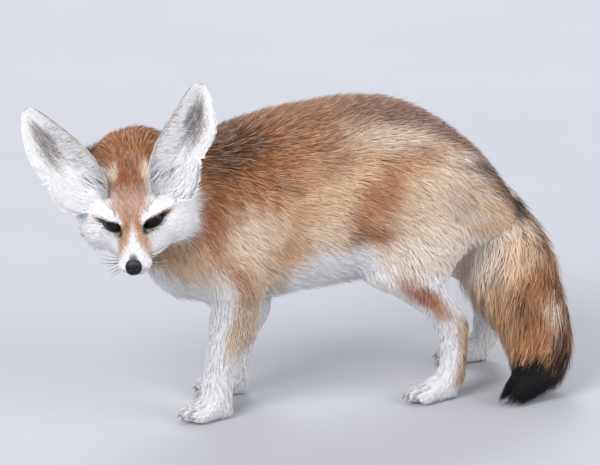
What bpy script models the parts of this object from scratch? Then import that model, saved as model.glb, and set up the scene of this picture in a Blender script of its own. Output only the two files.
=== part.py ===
# Fennec fox, life size, standing on four paws with its head turned to its left.
# Metres, +Z up. The fox faces -X, its left side is at -Y, and its soles are at Z = 0.
import math
import random

import bmesh
import bpy
import numpy as np
from mathutils import Matrix, Vector
from mathutils.bvhtree import BVHTree

GAP = 0.0003
FLESH_VOXEL = 0.0014
FLESH_SMOOTHING = 8
FLESH_TRIANGLES = 4300
FLOOR_CLEARANCE = 0.0075
SHADE_ANGLE = math.radians(50)
LEFT_RIGHT = (("left", 1), ("right", -1))  # in the head's axes, whose y runs to its left

# The trunk, coat included: x, back line, belly line, half width.
TRUNK = (
    (-0.148, 0.165, 0.112, 0.022),
    (-0.132, 0.188, 0.091, 0.037),
    (-0.100, 0.2065, 0.082, 0.0470),
    (-0.060, 0.2185, 0.0815, 0.0515),
    (-0.020, 0.2235, 0.0855, 0.0530),
    (0.020, 0.2250, 0.0885, 0.0540),
    (0.055, 0.2170, 0.0925, 0.0530),
    (0.085, 0.1990, 0.0970, 0.0490),
    (0.110, 0.1760, 0.1030, 0.0420),
    (0.130, 0.1500, 0.1120, 0.0290),
    (0.139, 0.1360, 0.1220, 0.0140),
)

# The neck: x, y, z, half width, half depth.
NECK = (
    (-0.075, 0.000, 0.156, 0.047, 0.054),
    (-0.105, -0.001, 0.163, 0.044, 0.050),
    (-0.130, -0.007, 0.168, 0.039, 0.046),
    (-0.148, -0.015, 0.173, 0.036, 0.043),
    (-0.160, -0.026, 0.176, 0.034, 0.038),
)

# Legs, level by level: z, front edge, back edge, y of the middle, half width.
# Y is for a right leg; a left leg mirrors it.
FRONT_LEG = (
    (0.165, -0.122, -0.066, 0.022, 0.020),
    (0.125, -0.122, -0.056, 0.027, 0.0230),
    (0.100, -0.1115, -0.062, 0.0280, 0.0195),
    (0.085, -0.1065, -0.0700, 0.0275, 0.0158),
    (0.060, -0.1082, -0.0738, 0.0265, 0.0125),
    (0.044, -0.1100, -0.0840, 0.0258, 0.0112),
    (0.030, -0.1118, -0.0890, 0.0252, 0.0108),
    (0.018, -0.1140, -0.0900, 0.0250, 0.0112),
    (0.009, -0.1150, -0.0915, 0.0250, 0.0112),
)
HIND_LEG = (
    (0.185, 0.048, 0.102, 0.020, 0.022),
    (0.150, 0.022, 0.112, 0.0255, 0.0265),
    (0.120, 0.009, 0.098, 0.0300, 0.0260),
    (0.098, 0.0065, 0.0785, 0.0335, 0.0220),
    (0.083, 0.0270, 0.0735, 0.0370, 0.0172),
    (0.067, 0.0495, 0.0830, 0.0400, 0.0125),
    (0.0565, 0.0610, 0.0885, 0.0410, 0.0108),
    (0.040, 0.0675, 0.0882, 0.0410, 0.0094),
    (0.020, 0.0658, 0.0866, 0.0410, 0.0094),
    (0.010, 0.0600, 0.0860, 0.0410, 0.0098),
)
# How far each foot stands behind, and to the right of, the place that the tables give it.
STEPS = {
    "front_left": (0.0, 0.0),
    "front_right": (0.030, -0.003),
    "hind_left": (0.0, 0.0),
    "hind_right": (0.055, -0.010),
}
STEP_FREE_ABOVE = 0.165
STEP_FULL_BELOW = 0.0565

# Paws, from the heel forward: distance in front of the heel, top, half width.
FRONT_PAW = (
    (0.0000, 0.0150, 0.0080),
    (0.0100, 0.0198, 0.0108),
    (0.0200, 0.0160, 0.0118),
    (0.0275, 0.0100, 0.0106),
)
HIND_PAW = (
    (0.0000, 0.0150, 0.0075),
    (0.0100, 0.0198, 0.0096),
    (0.0210, 0.0160, 0.0106),
    (0.0290, 0.0100, 0.0098),
)
PAW_SOLE = -0.002
FRONT_HEEL_X = -0.0925
HIND_HEEL_X = 0.0780
PAW_TURN_OUT = math.radians(7)
TOE_ACROSS = (-0.0100, -0.0034, 0.0034, 0.0100)
TOE_FORWARD = (-0.0020, 0.0025, 0.0025, -0.0020)
TOE_RADII = (0.0090, 0.0040, 0.0068)
CLAW_START = 0.0048
CLAW_LENGTH = 0.0062
CLAW_DROP = 0.0026
CLAW_RADIUS = 0.0012

# The head, in its own axes: x forward, y to its left, z up, from midway between the eyes.
HEAD_PLACE = Vector((-0.1760, -0.0590, 0.1655))
HEAD_TURN = math.radians(69)
HEAD_PITCH = math.radians(14)
HEAD_ROLL = math.radians(8)
HEAD = (  # x, top, bottom, half width
    (0.0375, -0.0125, -0.0215, 0.0050),
    (0.0335, -0.0092, -0.0232, 0.0078),
    (0.0270, -0.0066, -0.0248, 0.0102),
    (0.0180, -0.0034, -0.0268, 0.0124),
    (0.0090, 0.0014, -0.0290, 0.0148),
    (0.0010, 0.0080, -0.0330, 0.0190),
    (-0.0070, 0.0156, -0.0340, 0.0275),
    (-0.0160, 0.0220, -0.0345, 0.0345),
    (-0.0280, 0.0266, -0.0345, 0.0385),
    (-0.0420, 0.0296, -0.0320, 0.0380),
    (-0.0560, 0.0335, -0.0275, 0.0360),
    (-0.0700, 0.0362, -0.0220, 0.0325),
    (-0.0820, 0.0325, -0.0140, 0.0260),
)
# Swellings of the head, each on both sides: place and radii.
CHEEK = ((-0.0240, 0.0235, -0.0130), (0.0190, 0.0155, 0.0175))
WHISKER_PAD = ((0.0275, 0.0052, -0.0170), (0.0085, 0.0066, 0.0058))
CHIN = ((0.0225, 0.0028, -0.0240), (0.0095, 0.0052, 0.0036))
EAR_BASE = ((-0.0320, 0.0240, 0.0130), (0.0130, 0.0140, 0.0165))
EYE_PLACE = (-0.0058, 0.0128, -0.0004)
EYE_RADIUS = 0.0085
EYE_SEGMENTS = (14, 8)
EYE_OUTWARD = math.radians(24)
LID_THICKNESS = 0.0018
LID_OPENING = (0.0142, 0.0072)
EYE_SLANT = math.radians(25)
MOUTH_CENTRE = (0.0200, 0.0, -0.0232)
MOUTH_SWEEP = math.radians(122)
MOUTH_POINTS = 11
MOUTH_DIP = 0.12
MOUTH_CORNER_RISE = 0.10
LIP_RADIUS = 0.0011
LIP_LIFT = 0.0011
MOUTH_GROOVE = 0.0007
NOSE = (  # x, top, bottom, half width
    (0.0340, -0.0132, -0.0170, 0.0030),
    (0.0358, -0.0104, -0.0196, 0.0054),
    (0.0378, -0.0098, -0.0208, 0.0060),
    (0.0396, -0.0108, -0.0204, 0.0052),
    (0.0406, -0.0130, -0.0184, 0.0030),
)
NOSTRIL_PLACE = (0.0396, 0.0030, -0.0152)
NOSTRIL_RADII = (0.0026, 0.0013, 0.0011)
NOSTRIL_OUTWARD = math.radians(38)

# Ears, in the head's axes; 1 is the left ear, -1 the right one.
EAR_ROOT = Vector((-0.0210, 0.0262, 0.0120))
EAR_TIP = {1: Vector((-0.0370, 0.0595, 0.0860)), -1: Vector((-0.0370, -0.0645, 0.0820))}
EAR_FACES_OUT = {1: math.radians(16), -1: math.radians(8)}
EAR_HALF_WIDTH = 0.0225
EAR_ROOT_SHARE = 0.62  # its width at the root, as a share of its widest
EAR_WIDEST = 0.42
EAR_TIP_END = 0.985
EAR_CURL = (math.radians(84), math.radians(38))  # how far each half wraps forward: root, tip
EAR_BOW = 0.006
EAR_WALL = (0.0025, 0.0014)  # root, tip
EAR_CUT = 0.30
EAR_ROWS = 8
EAR_COLUMNS = 8

# Locks taper along their length: shares of the full width and thickness at four places.
LOCK_STEPS = np.array([0.0, 0.30, 0.64, 1.0])
LOCK_WIDTHS = np.array([0.80, 1.0, 0.66, 0.06])
LOCK_THICKNESSES = np.array([1.0, 1.0, 0.85, 0.35])
EAR_LOCKS = 6
EAR_LOCKS_FROM, EAR_LOCKS_TO = 0.33, 0.75
EAR_LOCK_WIDTH = 0.0032
EAR_LOCK_THICKNESS = 0.0010
EAR_LOCK_LIFT = 0.0036
EAR_LOCK_CLIMB = 0.085
RUFF_LOCKS = 7
RUFF_TOP, RUFF_BOTTOM = math.radians(18), math.radians(-80)
RUFF_START = -0.0040
RUFF_LENGTH = 0.0165
RUFF_WIDTH = 0.0050
RUFF_THICKNESS = 0.0013
RUFF_SINK = 0.0030
RUFF_LIFT = 0.0042
RUFF_DROOP = math.radians(16)

# The tail's path, with the brush's radius: x, y, z, radius.
TAIL = (
    (0.1120, 0.000, 0.1450, 0.0300),
    (0.1250, -0.004, 0.1180, 0.0345),
    (0.1320, -0.014, 0.0910, 0.0350),
    (0.1385, -0.031, 0.0650, 0.0315),
    (0.1415, -0.050, 0.0420, 0.0265),
    (0.1360, -0.064, 0.0260, 0.0215),
    (0.1265, -0.071, 0.0160, 0.0110),
)
TAIL_CORE_SHARE = 0.46
TAIL_LOCKS = 38
TAIL_LOCKS_FROM, TAIL_LOCKS_TO = 0.10, 0.84
TAIL_LOCK_REACH = 0.33
TAIL_LOCK_WIDTH = 0.0125
TAIL_LOCK_THICKNESS = 0.0017
TAIL_LOCK_SWELL = 0.80  # the lower, the sooner a lock reaches the brush's outline
TAIL_LOCK_SINK = 0.0045
TAIL_TIP_FROM = 0.92  # where the brush starts to close to its point
TAIL_TIP_TAPER = 1.2

# Where the whole is cut into nodes. Each cell of a cut: depth and half sizes across.
TAIL_CUTS = (
    ("tail_tip", "black_fur", 0.72),
    ("tail_middle", "tawny_fur", 0.44),
    ("tail_base", "tawny_fur", 0.14),
)
TAIL_CELL = (0.075, 0.042, 0.060)
TAIL_CELL_SHIFT = np.array([0.010, -0.022, 0.0])  # clear of the right hind leg
EAR_CELL = (0.090, 0.032, 0.032)
# The cut behind the head slants round the left cheek, which lies close to the shoulder.
HEAD_CUT = (-0.046, 0.0, 0.013)
HEAD_CUT_FACES = (1.0, -0.29, 0.43)
HEAD_CELL = (0.140, 0.056, 0.090)
NECK_CUT = (-0.112, 0.0, 0.160)
NECK_CUT_FACES = (-0.93, 0.0, 0.32)
NECK_CELL = (0.090, 0.080, 0.075)
BELLY_FRONT, BELLY_BACK = -0.048, 0.058
TRUNK_CELL = (0.120, 0.090, 0.120)
# Down each leg: name, colour, x and z of the cut, and its cell.
FRONT_CELLS = (
    ("paw_front_", "white_fur", -0.1045, 0.0215, (0.030, 0.0235, 0.040)),
    ("forearm_", "sand_fur", -0.0925, 0.0800, (0.080, 0.0240, 0.040)),
)
HIND_CELLS = (
    ("paw_hind_", "white_fur", 0.0630, 0.0215, (0.030, 0.0300, 0.045)),
    ("hind_foot_", "white_fur", 0.0680, 0.0560, (0.050, 0.0300, 0.045)),
    ("shank_", "white_fur", 0.0480, 0.0860, (0.050, 0.0335, 0.060)),
)
FRONT_CELL_Y, HIND_CELL_Y = 0.0260, 0.0410
# The cut above the thigh rises outward, as the groin does.
THIGH_CUT = (0.0650, 0.0410, 0.1135)
THIGH_CUT_SLOPE = 0.46
THIGH_STEP_SHARE = 0.3
THIGH_CELL = (0.050, 0.042, 0.075)

COLOURS = {
    "sand_fur": (0.56, 0.34, 0.17, 0.85),
    "white_fur": (0.80, 0.74, 0.66, 0.85),
    "tawny_fur": (0.50, 0.26, 0.11, 0.85),
    "black_fur": (0.02, 0.017, 0.015, 0.80),
    "nose_skin": (0.025, 0.022, 0.025, 0.40),
    "eye": (0.018, 0.010, 0.006, 0.08),
    "claw": (0.24, 0.19, 0.15, 0.45),
}


def clear_scene():
    for thing in list(bpy.data.objects):
        bpy.data.objects.remove(thing)


def material(name):
    made = bpy.data.materials.get(name)
    if made is None:
        red, green, blue, roughness = COLOURS[name]
        made = bpy.data.materials.new(name)
        made.use_nodes = True
        shader = made.node_tree.nodes["Principled BSDF"]
        shader.inputs["Base Color"].default_value = (red, green, blue, 1)
        shader.inputs["Roughness"].default_value = roughness
        shader.inputs["Metallic"].default_value = 0
    return made


def flowing(rows, steps):
    """Rows read off a smooth curve through the given rows (Catmull-Rom), `steps` to a span."""
    rows = np.array(rows, float)
    rows = np.vstack([2 * rows[0] - rows[1], rows, 2 * rows[-1] - rows[-2]])
    read = []
    for a, b, c, d in zip(rows, rows[1:], rows[2:], rows[3:]):
        for t in np.arange(steps) / steps:
            bend = (2 * a - 5 * b + 4 * c - d) * t * t + (3 * b - a - 3 * c + d) * t**3
            read.append(0.5 * (2 * b + (c - a) * t + bend))
    read.append(rows[-2])
    return np.array(read)


def oval(half_side, half_other, sides, power=2.2):
    """Pairs of offsets round a superellipse."""
    turn = np.arange(sides) * 2 * math.pi / sides
    across, along = np.cos(turn), np.sin(turn)
    across = np.sign(across) * np.abs(across) ** (2 / power) * half_side
    along = np.sign(along) * np.abs(along) ** (2 / power) * half_other
    return across, along


def rings_across(rows, sides=24, power=2.2):
    """Rings square to X, from rows of x, top, bottom and half width."""
    rings = []
    for x, top, bottom, half in rows:
        across, along = oval(half, (top - bottom) / 2, sides, power)
        middle = (top + bottom) / 2
        rings.append(np.stack([np.full(sides, x), across, middle + along], axis=1))
    return rings


def rings_level(rows, sides=20, power=2.2):
    """Level rings, from rows of z, front edge, back edge, y and half width."""
    rings = []
    for z, front, back, y, half in rows:
        across, along = oval(half, (back - front) / 2, sides, power)
        middle = (front + back) / 2
        rings.append(np.stack([middle + along, y + across, np.full(sides, z)], axis=1))
    return rings


def frames_along(points, hint):
    """A side and a rise direction at each point of a path, square to the path."""
    run = np.gradient(points, axis=0)
    run /= np.linalg.norm(run, axis=1, keepdims=True)
    side = hint - run * (run @ hint)[:, None]
    side /= np.linalg.norm(side, axis=1, keepdims=True)
    return run, side, np.cross(run, side)


def rings_along(rows, hint, sides=20, power=2.0):
    """Rings square to a path, from rows of x, y, z, half width and half depth."""
    rows = np.array(rows, float)
    _, side, rise = frames_along(rows[:, :3], np.array(hint, float))
    rings = []
    for row, s, r in zip(rows, side, rise):
        across, along = oval(row[3], row[4], sides, power)
        rings.append(row[:3] + across[:, None] * s + along[:, None] * r)
    return rings


def add_rings(bm, rings, placed=None):
    """Joins rings into one closed tube in the bmesh, each end drawn to its middle."""
    first = np.mean(rings[0], axis=0)
    last = np.mean(rings[-1], axis=0)
    loops = [[bm.verts.new(p) for p in ring] for ring in rings]
    ends = [bm.verts.new(first), bm.verts.new(last)]
    sides = len(loops[0])
    made = []
    for low, high in zip(loops, loops[1:]):
        for i in range(sides):
            j = (i + 1) % sides
            made.append(bm.faces.new((low[i], low[j], high[j], high[i])))
    for i in range(sides):
        j = (i + 1) % sides
        made.append(bm.faces.new((ends[0], loops[0][j], loops[0][i])))
        made.append(bm.faces.new((ends[1], loops[-1][i], loops[-1][j])))
    if placed is not None:
        bmesh.ops.transform(bm, matrix=placed, verts=[v for loop in loops for v in loop] + ends)
    return made


def add_ball(bm, place, radii, turned=None, rings=12):
    """An ellipsoid at a place, in metres, turned by a matrix if one is given."""
    matrix = Matrix.Translation(place) @ (turned or Matrix()) @ Matrix.Diagonal((*radii, 1))
    bmesh.ops.create_uvsphere(bm, u_segments=rings + 4, v_segments=rings, radius=1, matrix=matrix)


def object_from(bm, name):
    """Makes the bmesh an object, its faces turned outward."""
    bmesh.ops.recalc_face_normals(bm, faces=bm.faces)
    mesh = bpy.data.meshes.new(name)
    bm.to_mesh(mesh)
    bm.free()
    made = bpy.data.objects.new(name, mesh)
    bpy.context.scene.collection.objects.link(made)
    return made


def apply_modifiers(thing):
    bpy.context.view_layer.update()
    shown = thing.evaluated_get(bpy.context.evaluated_depsgraph_get())
    mesh = bpy.data.meshes.new_from_object(shown)
    thing.modifiers.clear()
    thing.data = mesh
    return thing


def remove(things):
    for thing in things:
        bpy.data.objects.remove(thing)


def boolean(target, others, operation):
    """One Boolean of the target with a collection of closed meshes, which are then removed."""
    group = bpy.data.collections.new("group")
    bpy.context.scene.collection.children.link(group)
    for other in others:
        group.objects.link(other)
    step = target.modifiers.new("join", "BOOLEAN")
    step.operation = operation
    step.operand_type = "COLLECTION"
    step.collection = group
    step.solver = "MANIFOLD"  # EXACT loses whole pieces of this mesh
    apply_modifiers(target)
    remove(others)
    bpy.data.collections.remove(group)
    return target


def largest_surface(thing):
    """Keeps only the largest closed surface of a mesh."""
    bm = bmesh.new()
    bm.from_mesh(thing.data)
    bmesh.ops.triangulate(bm, faces=bm.faces)
    left = set(bm.verts)
    islands = []
    while left:
        island = set()
        edge = [left.pop()]
        while edge:
            vert = edge.pop()
            island.add(vert)
            near = {e.other_vert(vert) for e in vert.link_edges} & left
            left -= near
            edge.extend(near)
        islands.append(island)
    sizes = [island_volume(island) for island in islands]
    keep = islands[sizes.index(max(sizes))]
    bmesh.ops.delete(bm, geom=[v for v in bm.verts if v not in keep], context="VERTS")
    bm.to_mesh(thing.data)
    bm.free()
    return thing


def island_volume(island):
    faces = {face for vert in island for face in vert.link_faces}
    corners = np.array([[v.co[:] for v in face.verts] for face in faces])
    return float(np.linalg.det(corners).sum() / 6)


def head_matrix():
    """Carries the head's own axes into the model."""
    cos_turn, sin_turn = math.cos(HEAD_TURN), math.sin(HEAD_TURN)
    cos_pitch, sin_pitch = math.cos(HEAD_PITCH), math.sin(HEAD_PITCH)
    forward = Vector((-cos_turn * cos_pitch, -sin_turn * cos_pitch, -sin_pitch))
    level_up = Vector((-cos_turn * sin_pitch, -sin_turn * sin_pitch, cos_pitch))
    level_left = level_up.cross(forward)
    left = level_left * math.cos(HEAD_ROLL) + level_up * math.sin(HEAD_ROLL)
    up = level_up * math.cos(HEAD_ROLL) - level_left * math.sin(HEAD_ROLL)
    turned = Matrix((forward, left, up)).transposed().to_4x4()
    return Matrix.Translation(HEAD_PLACE) @ turned


HEAD_AXES = head_matrix()


def side_sign(which):
    """The fox's right is at +Y, so a left leg's places are mirrored."""
    return -1 if which.endswith("left") else 1


def leg_rows(rows, which):
    """The rows of a leg, mirrored for a left one, its foot moved by the leg's step."""
    sign = side_sign(which)
    back_step, right_step = STEPS[which]
    placed = []
    for z, front, back, y, half in flowing(rows, 3):
        share = min(1, max(0, (STEP_FREE_ABOVE - z) / (STEP_FREE_ABOVE - STEP_FULL_BELOW)))
        share = share * share * (3 - 2 * share)
        moved = back_step * share
        placed.append((z, front + moved, back + moved, y * sign + right_step * share, half))
    return placed


def leg_point(which, x, y, z=0.0):
    """A place below the step's blend, given as for a right leg, carried to where the leg stands."""
    back_step, right_step = STEPS[which]
    return Vector((x + back_step, y * side_sign(which) + right_step, z))


def paws():
    """Name, rows and matrix of each paw: its own x runs forward from the heel."""
    found = {}
    for which in STEPS:
        front = which.startswith("front")
        heel_x, y = (FRONT_HEEL_X, FRONT_LEG[-1][3]) if front else (HIND_HEEL_X, HIND_LEG[-1][3])
        turn = Matrix.Rotation(math.pi - PAW_TURN_OUT * side_sign(which), 4, "Z")
        placed = Matrix.Translation(leg_point(which, heel_x, y)) @ turn
        found[which] = (FRONT_PAW if front else HIND_PAW, placed)
    return found


def toe_places(rows):
    """Where each toe's middle is, in the paw's axes."""
    reach = rows[-1][0]
    width = rows[-1][2] / FRONT_PAW[-1][2]
    return [
        (reach + forward, across * width, TOE_RADII[2] - 0.001)
        for across, forward in zip(TOE_ACROSS, TOE_FORWARD)
    ]


def add_paw(bm, rows, placed):
    body = [(x, top, PAW_SOLE, half) for x, top, half in flowing(rows, 3)]
    add_rings(bm, rings_across(body, 16, 2.6), placed)
    for place in toe_places(rows):
        add_ball(bm, placed @ Vector(place), TOE_RADII, placed.to_3x3().normalized().to_4x4(), 8)


def flesh():
    """The whole animal to the outside of its lying coat, with the tail's core only."""
    bm = bmesh.new()
    add_rings(bm, rings_across(flowing(TRUNK, 3), 32, 2.25))
    add_rings(bm, rings_along(flowing(NECK, 3), (0, -1, 0), 28))
    add_rings(bm, rings_across(flowing(HEAD, 3), 28, 2.2), HEAD_AXES)
    add_face(bm)
    for which in STEPS:
        table = FRONT_LEG if which.startswith("front") else HIND_LEG
        add_rings(bm, rings_level(leg_rows(table, which)))
    for rows, placed in paws().values():
        add_paw(bm, rows, placed)
    core = [(*row[:3], row[3] * TAIL_CORE_SHARE, row[3] * TAIL_CORE_SHARE) for row in TAIL]
    add_rings(bm, rings_along(flowing(core, 4), (0, -1, 0)))
    whole = object_from(bm, "flesh")
    melt = whole.modifiers.new("melt", "REMESH")
    melt.mode = "VOXEL"
    melt.voxel_size = FLESH_VOXEL
    ease = whole.modifiers.new("ease", "SMOOTH")
    ease.iterations = FLESH_SMOOTHING
    apply_modifiers(whole)
    thin = whole.modifiers.new("thin", "DECIMATE")
    thin.ratio = FLESH_TRIANGLES / (2 * len(whole.data.polygons))
    return apply_modifiers(whole)


def add_face(bm):
    """Swellings of the head: cheeks, whisker pads, chin and the ears' roots."""
    turned = HEAD_AXES.to_3x3().to_4x4()
    for (x, y, z), radii in (CHEEK, WHISKER_PAD, CHIN, EAR_BASE):
        for sign in (-1, 1):
            add_ball(bm, HEAD_AXES @ Vector((x, y * sign, z)), radii, turned)


def ear_axes(sign):
    """The ear's length, the way its cup faces, and its width, in the head's axes."""
    root = Vector((EAR_ROOT.x, EAR_ROOT.y * sign, EAR_ROOT.z))
    tip = EAR_TIP[sign]
    along = (tip - root).normalized()
    facing = Vector((math.cos(EAR_FACES_OUT[sign]), math.sin(EAR_FACES_OUT[sign]) * sign, 0))
    facing = (facing - along * facing.dot(along)).normalized()
    return root, tip, along, facing, facing.cross(along) * -sign


def ear_half_width(s):
    """Half the ear's width at a share of its length: a quarter wave out, then a rounded point."""
    if s < EAR_WIDEST:
        wave = math.sin(math.pi / 2 * s / EAR_WIDEST)
        return EAR_HALF_WIDTH * (EAR_ROOT_SHARE + (1 - EAR_ROOT_SHARE) * wave)
    return EAR_HALF_WIDTH * (1 - ((s - EAR_WIDEST) / (1 - EAR_WIDEST)) ** 2.1) ** 0.72


def ear_point(s, t, sign, lift):
    """A point of the ear: s from root to tip, t from inner (-1) to outer (1) edge, lift off its back."""
    root, tip, along, facing, across = ear_axes(sign)
    curl = EAR_CURL[0] + (EAR_CURL[1] - EAR_CURL[0]) * s
    radius = ear_half_width(s) / math.sin(curl)
    centre = root.lerp(tip, s) + facing * (radius - EAR_BOW * math.sin(math.pi * s))
    sideways, backward = math.sin(t * curl), math.cos(t * curl)
    return centre + (across * sideways - facing * backward) * (radius - lift)


def ear(side, sign):
    """A cupped shell: a grid for its back, one for its inside, and a rim that joins them."""
    bm = bmesh.new()
    layers = []
    for wall_share in (0, 1):
        layer = []
        for i in range(EAR_ROWS + 1):
            s = i / EAR_ROWS * EAR_TIP_END
            wall = (EAR_WALL[0] + (EAR_WALL[1] - EAR_WALL[0]) * s) * wall_share
            spread = [2 * j / EAR_COLUMNS - 1 for j in range(EAR_COLUMNS + 1)]
            layer.append([bm.verts.new(HEAD_AXES @ ear_point(s, t, sign, wall)) for t in spread])
        layers.append(layer)
    back, inside = layers
    for i in range(EAR_ROWS):
        for j in range(EAR_COLUMNS):
            for grid in (back, inside):
                a, b, c, d = grid[i][j], grid[i][j + 1], grid[i + 1][j + 1], grid[i + 1][j]
                bm.faces.new((a, b, c))
                bm.faces.new((a, c, d))
    rim = [(i, 0) for i in range(EAR_ROWS)]
    rim += [(EAR_ROWS, j) for j in range(EAR_COLUMNS)]
    rim += [(i, EAR_COLUMNS) for i in range(EAR_ROWS, 0, -1)]
    rim += [(0, j) for j in range(EAR_COLUMNS, 0, -1)]
    for (i, j), (k, m) in zip(rim, rim[1:] + rim[:1]):
        bm.faces.new((back[i][j], back[k][m], inside[k][m]))
        bm.faces.new((back[i][j], inside[k][m], inside[i][j]))
    return object_from(bm, "ear_" + side)


def box(origin, normal, size, hint=(0, 1, 0), grow=0.0):
    """A box from a plane along its normal; its size is depth, half size along the hint, and the other."""
    depth, half_a, half_b = size
    normal = Vector(normal).normalized()
    a = (Vector(hint) - normal * normal.dot(Vector(hint))).normalized()
    b = normal.cross(a)
    middle = Vector(origin) + normal * (depth / 2)
    bm = bmesh.new()
    bmesh.ops.create_cube(bm, size=2)
    turned = Matrix((a, b, normal)).transposed().to_4x4()
    scaled = Matrix.Diagonal((half_a + grow, half_b + grow, depth / 2 + grow, 1))
    bmesh.ops.transform(bm, matrix=Matrix.Translation(middle) @ turned @ scaled, verts=bm.verts)
    return object_from(bm, "cell")


def copy_of(thing, name):
    made = thing.copy()
    made.data = thing.data.copy()
    made.name = name
    bpy.context.scene.collection.objects.link(made)
    return made


def part_off(body, name, cell):
    """Cuts from the body what lies in a cell, leaving a thin gap, and returns it as a node."""
    node = copy_of(body, name)
    boolean(node, [box(**cell)], "INTERSECT")
    boolean(body, [box(**cell, grow=GAP)], "DIFFERENCE")
    largest_surface(node)
    largest_surface(body)
    return node


def finish(thing, name, colour):
    thing.name = name
    thing.data.materials.clear()
    thing.data.materials.append(material(colour))
    thing.data.shade_smooth()
    thing.data.set_sharp_from_angle(angle=SHADE_ANGLE)
    return thing


def head_vector(x, y, z):
    return (HEAD_AXES.to_3x3() @ Vector((x, y, z))).normalized()


def eye_frame(sign):
    """The eye's middle and its opening's three directions, in the model."""
    x, y, z = EYE_PLACE
    middle = HEAD_AXES @ Vector((x, y * sign, z))
    looks = Vector((math.cos(EYE_OUTWARD), math.sin(EYE_OUTWARD) * sign, 0))
    level = Vector((-math.sin(EYE_OUTWARD) * sign, math.cos(EYE_OUTWARD), 0)) * sign
    wide = level * math.cos(EYE_SLANT) + Vector((0, 0, math.sin(EYE_SLANT)))
    high = looks.cross(wide) * sign
    return middle, head_vector(*looks), head_vector(*wide), head_vector(*high)


def ball(name, place, radius):
    around, down = EYE_SEGMENTS
    bm = bmesh.new()
    matrix = Matrix.Translation(place)
    bmesh.ops.create_uvsphere(bm, u_segments=around, v_segments=down, radius=radius, matrix=matrix)
    return object_from(bm, name)


def lid_opening(sign):
    """An almond-shaped cutter that runs outward from inside the eye."""
    middle, looks, wide, high = eye_frame(sign)
    outline = []
    points = 7
    half_width, half_height = LID_OPENING[0] / 2, LID_OPENING[1] / 2
    for i in range(2 * points):
        turn = math.pi * i / points
        pointed = math.copysign(abs(math.sin(turn)) ** 1.25, math.sin(turn))
        outline.append(wide * (math.cos(turn) * half_width) + high * (pointed * half_height))
    rings = [
        np.array([middle + looks * out + point for point in outline])
        for out in (EYE_RADIUS * 0.3, EYE_RADIUS * 2.2)
    ]
    bm = bmesh.new()
    add_rings(bm, rings)
    return object_from(bm, "opening")


def surface_path(thing, centre, directions):
    """Where rays from a centre leave the mesh."""
    tree = BVHTree.FromObject(thing, bpy.context.evaluated_depsgraph_get())
    path = []
    for direction in directions:
        hit = tree.ray_cast(centre + direction * 0.2, -direction, 0.2)
        if hit[0] is not None:
            path.append(hit[0])
    return path


def tube_along(name, path, radius, sides):
    """A tube round a path in the head, thinner at its ends."""
    points = np.array([p[:] for p in path])
    size = radius * (1 - 0.75 * np.abs(np.linspace(-1, 1, len(points))) ** 6)
    rows = np.column_stack([points, size, size])
    bm = bmesh.new()
    add_rings(bm, rings_along(rows, head_vector(0.01, 0.02, 1), sides))
    return object_from(bm, name)


def mouth_path(head, lift):
    """The line where the lips meet, as rays from within the muzzle find the surface."""
    turns = np.linspace(-MOUTH_SWEEP, MOUTH_SWEEP, MOUTH_POINTS)
    centre = HEAD_AXES @ (Vector(MOUTH_CENTRE) + Vector((0, 0, lift)))
    rises = MOUTH_CORNER_RISE * (1 - np.cos(turns)) - MOUTH_DIP
    directions = [head_vector(math.cos(t), math.sin(t), rise) for t, rise in zip(turns, rises)]
    return surface_path(head, centre, directions)


def carve_face(head):
    """Lids round each eye, lips and the line of the mouth, and a seat for the nose."""
    lids, sockets = [], []
    for sign in (-1, 1):
        middle = eye_frame(sign)[0]
        lids.append(ball("lid", middle, EYE_RADIUS + GAP + LID_THICKNESS))
        sockets.append(ball("socket", middle, EYE_RADIUS + GAP))
        sockets.append(lid_opening(sign))
    groove = tube_along("groove", mouth_path(head, 0), MOUTH_GROOVE, 5)
    lips = tube_along("lips", mouth_path(head, LIP_LIFT), LIP_RADIUS, 6)
    boolean(head, lids + [lips], "UNION")
    boolean(head, sockets + [groove, nose_pad("seat", GAP)], "DIFFERENCE")
    return largest_surface(head)


def nose_pad(name, grow):
    bm = bmesh.new()
    middle = NOSE[2][0]
    rows = [
        (x + math.copysign(grow, x - middle), top + grow, bottom - grow, half + grow)
        for x, top, bottom, half in NOSE
    ]
    add_rings(bm, rings_across(flowing(rows, 2), 12, 2.3), HEAD_AXES)
    return object_from(bm, name)


def nose():
    """The bare pad, with a nostril on each side that opens forward and outward."""
    pad = nose_pad("nose", 0)
    holes = []
    for sign in (-1, 1):
        bm = bmesh.new()
        x, y, z = NOSTRIL_PLACE
        turned = HEAD_AXES.to_3x3().to_4x4() @ Matrix.Rotation(NOSTRIL_OUTWARD * sign, 4, "Z")
        add_ball(bm, HEAD_AXES @ Vector((x, y * sign, z)), NOSTRIL_RADII, turned, 6)
        holes.append(object_from(bm, "nostril"))
    boolean(pad, holes, "DIFFERENCE")
    return largest_surface(pad)


def claw_rows(place, grow):
    """A claw's path in the paw's axes, from inside the toe, curving down to its tip."""
    x, y, z = place
    rows = []
    for share in (0, 0.5, 1):
        radius = CLAW_RADIUS * (1 - 0.80 * share**1.5) + grow
        drop = CLAW_DROP * share * share
        rows.append((x + CLAW_START + CLAW_LENGTH * share, y, z - drop, radius * 0.8, radius))
    rows[0] = (rows[0][0] - grow, *rows[0][1:])
    return rows


def claw(name, place, placed, grow=0.0):
    bm = bmesh.new()
    add_rings(bm, rings_along(claw_rows(place, grow), (0, 1, 0), 6), placed)
    return object_from(bm, name)


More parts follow.
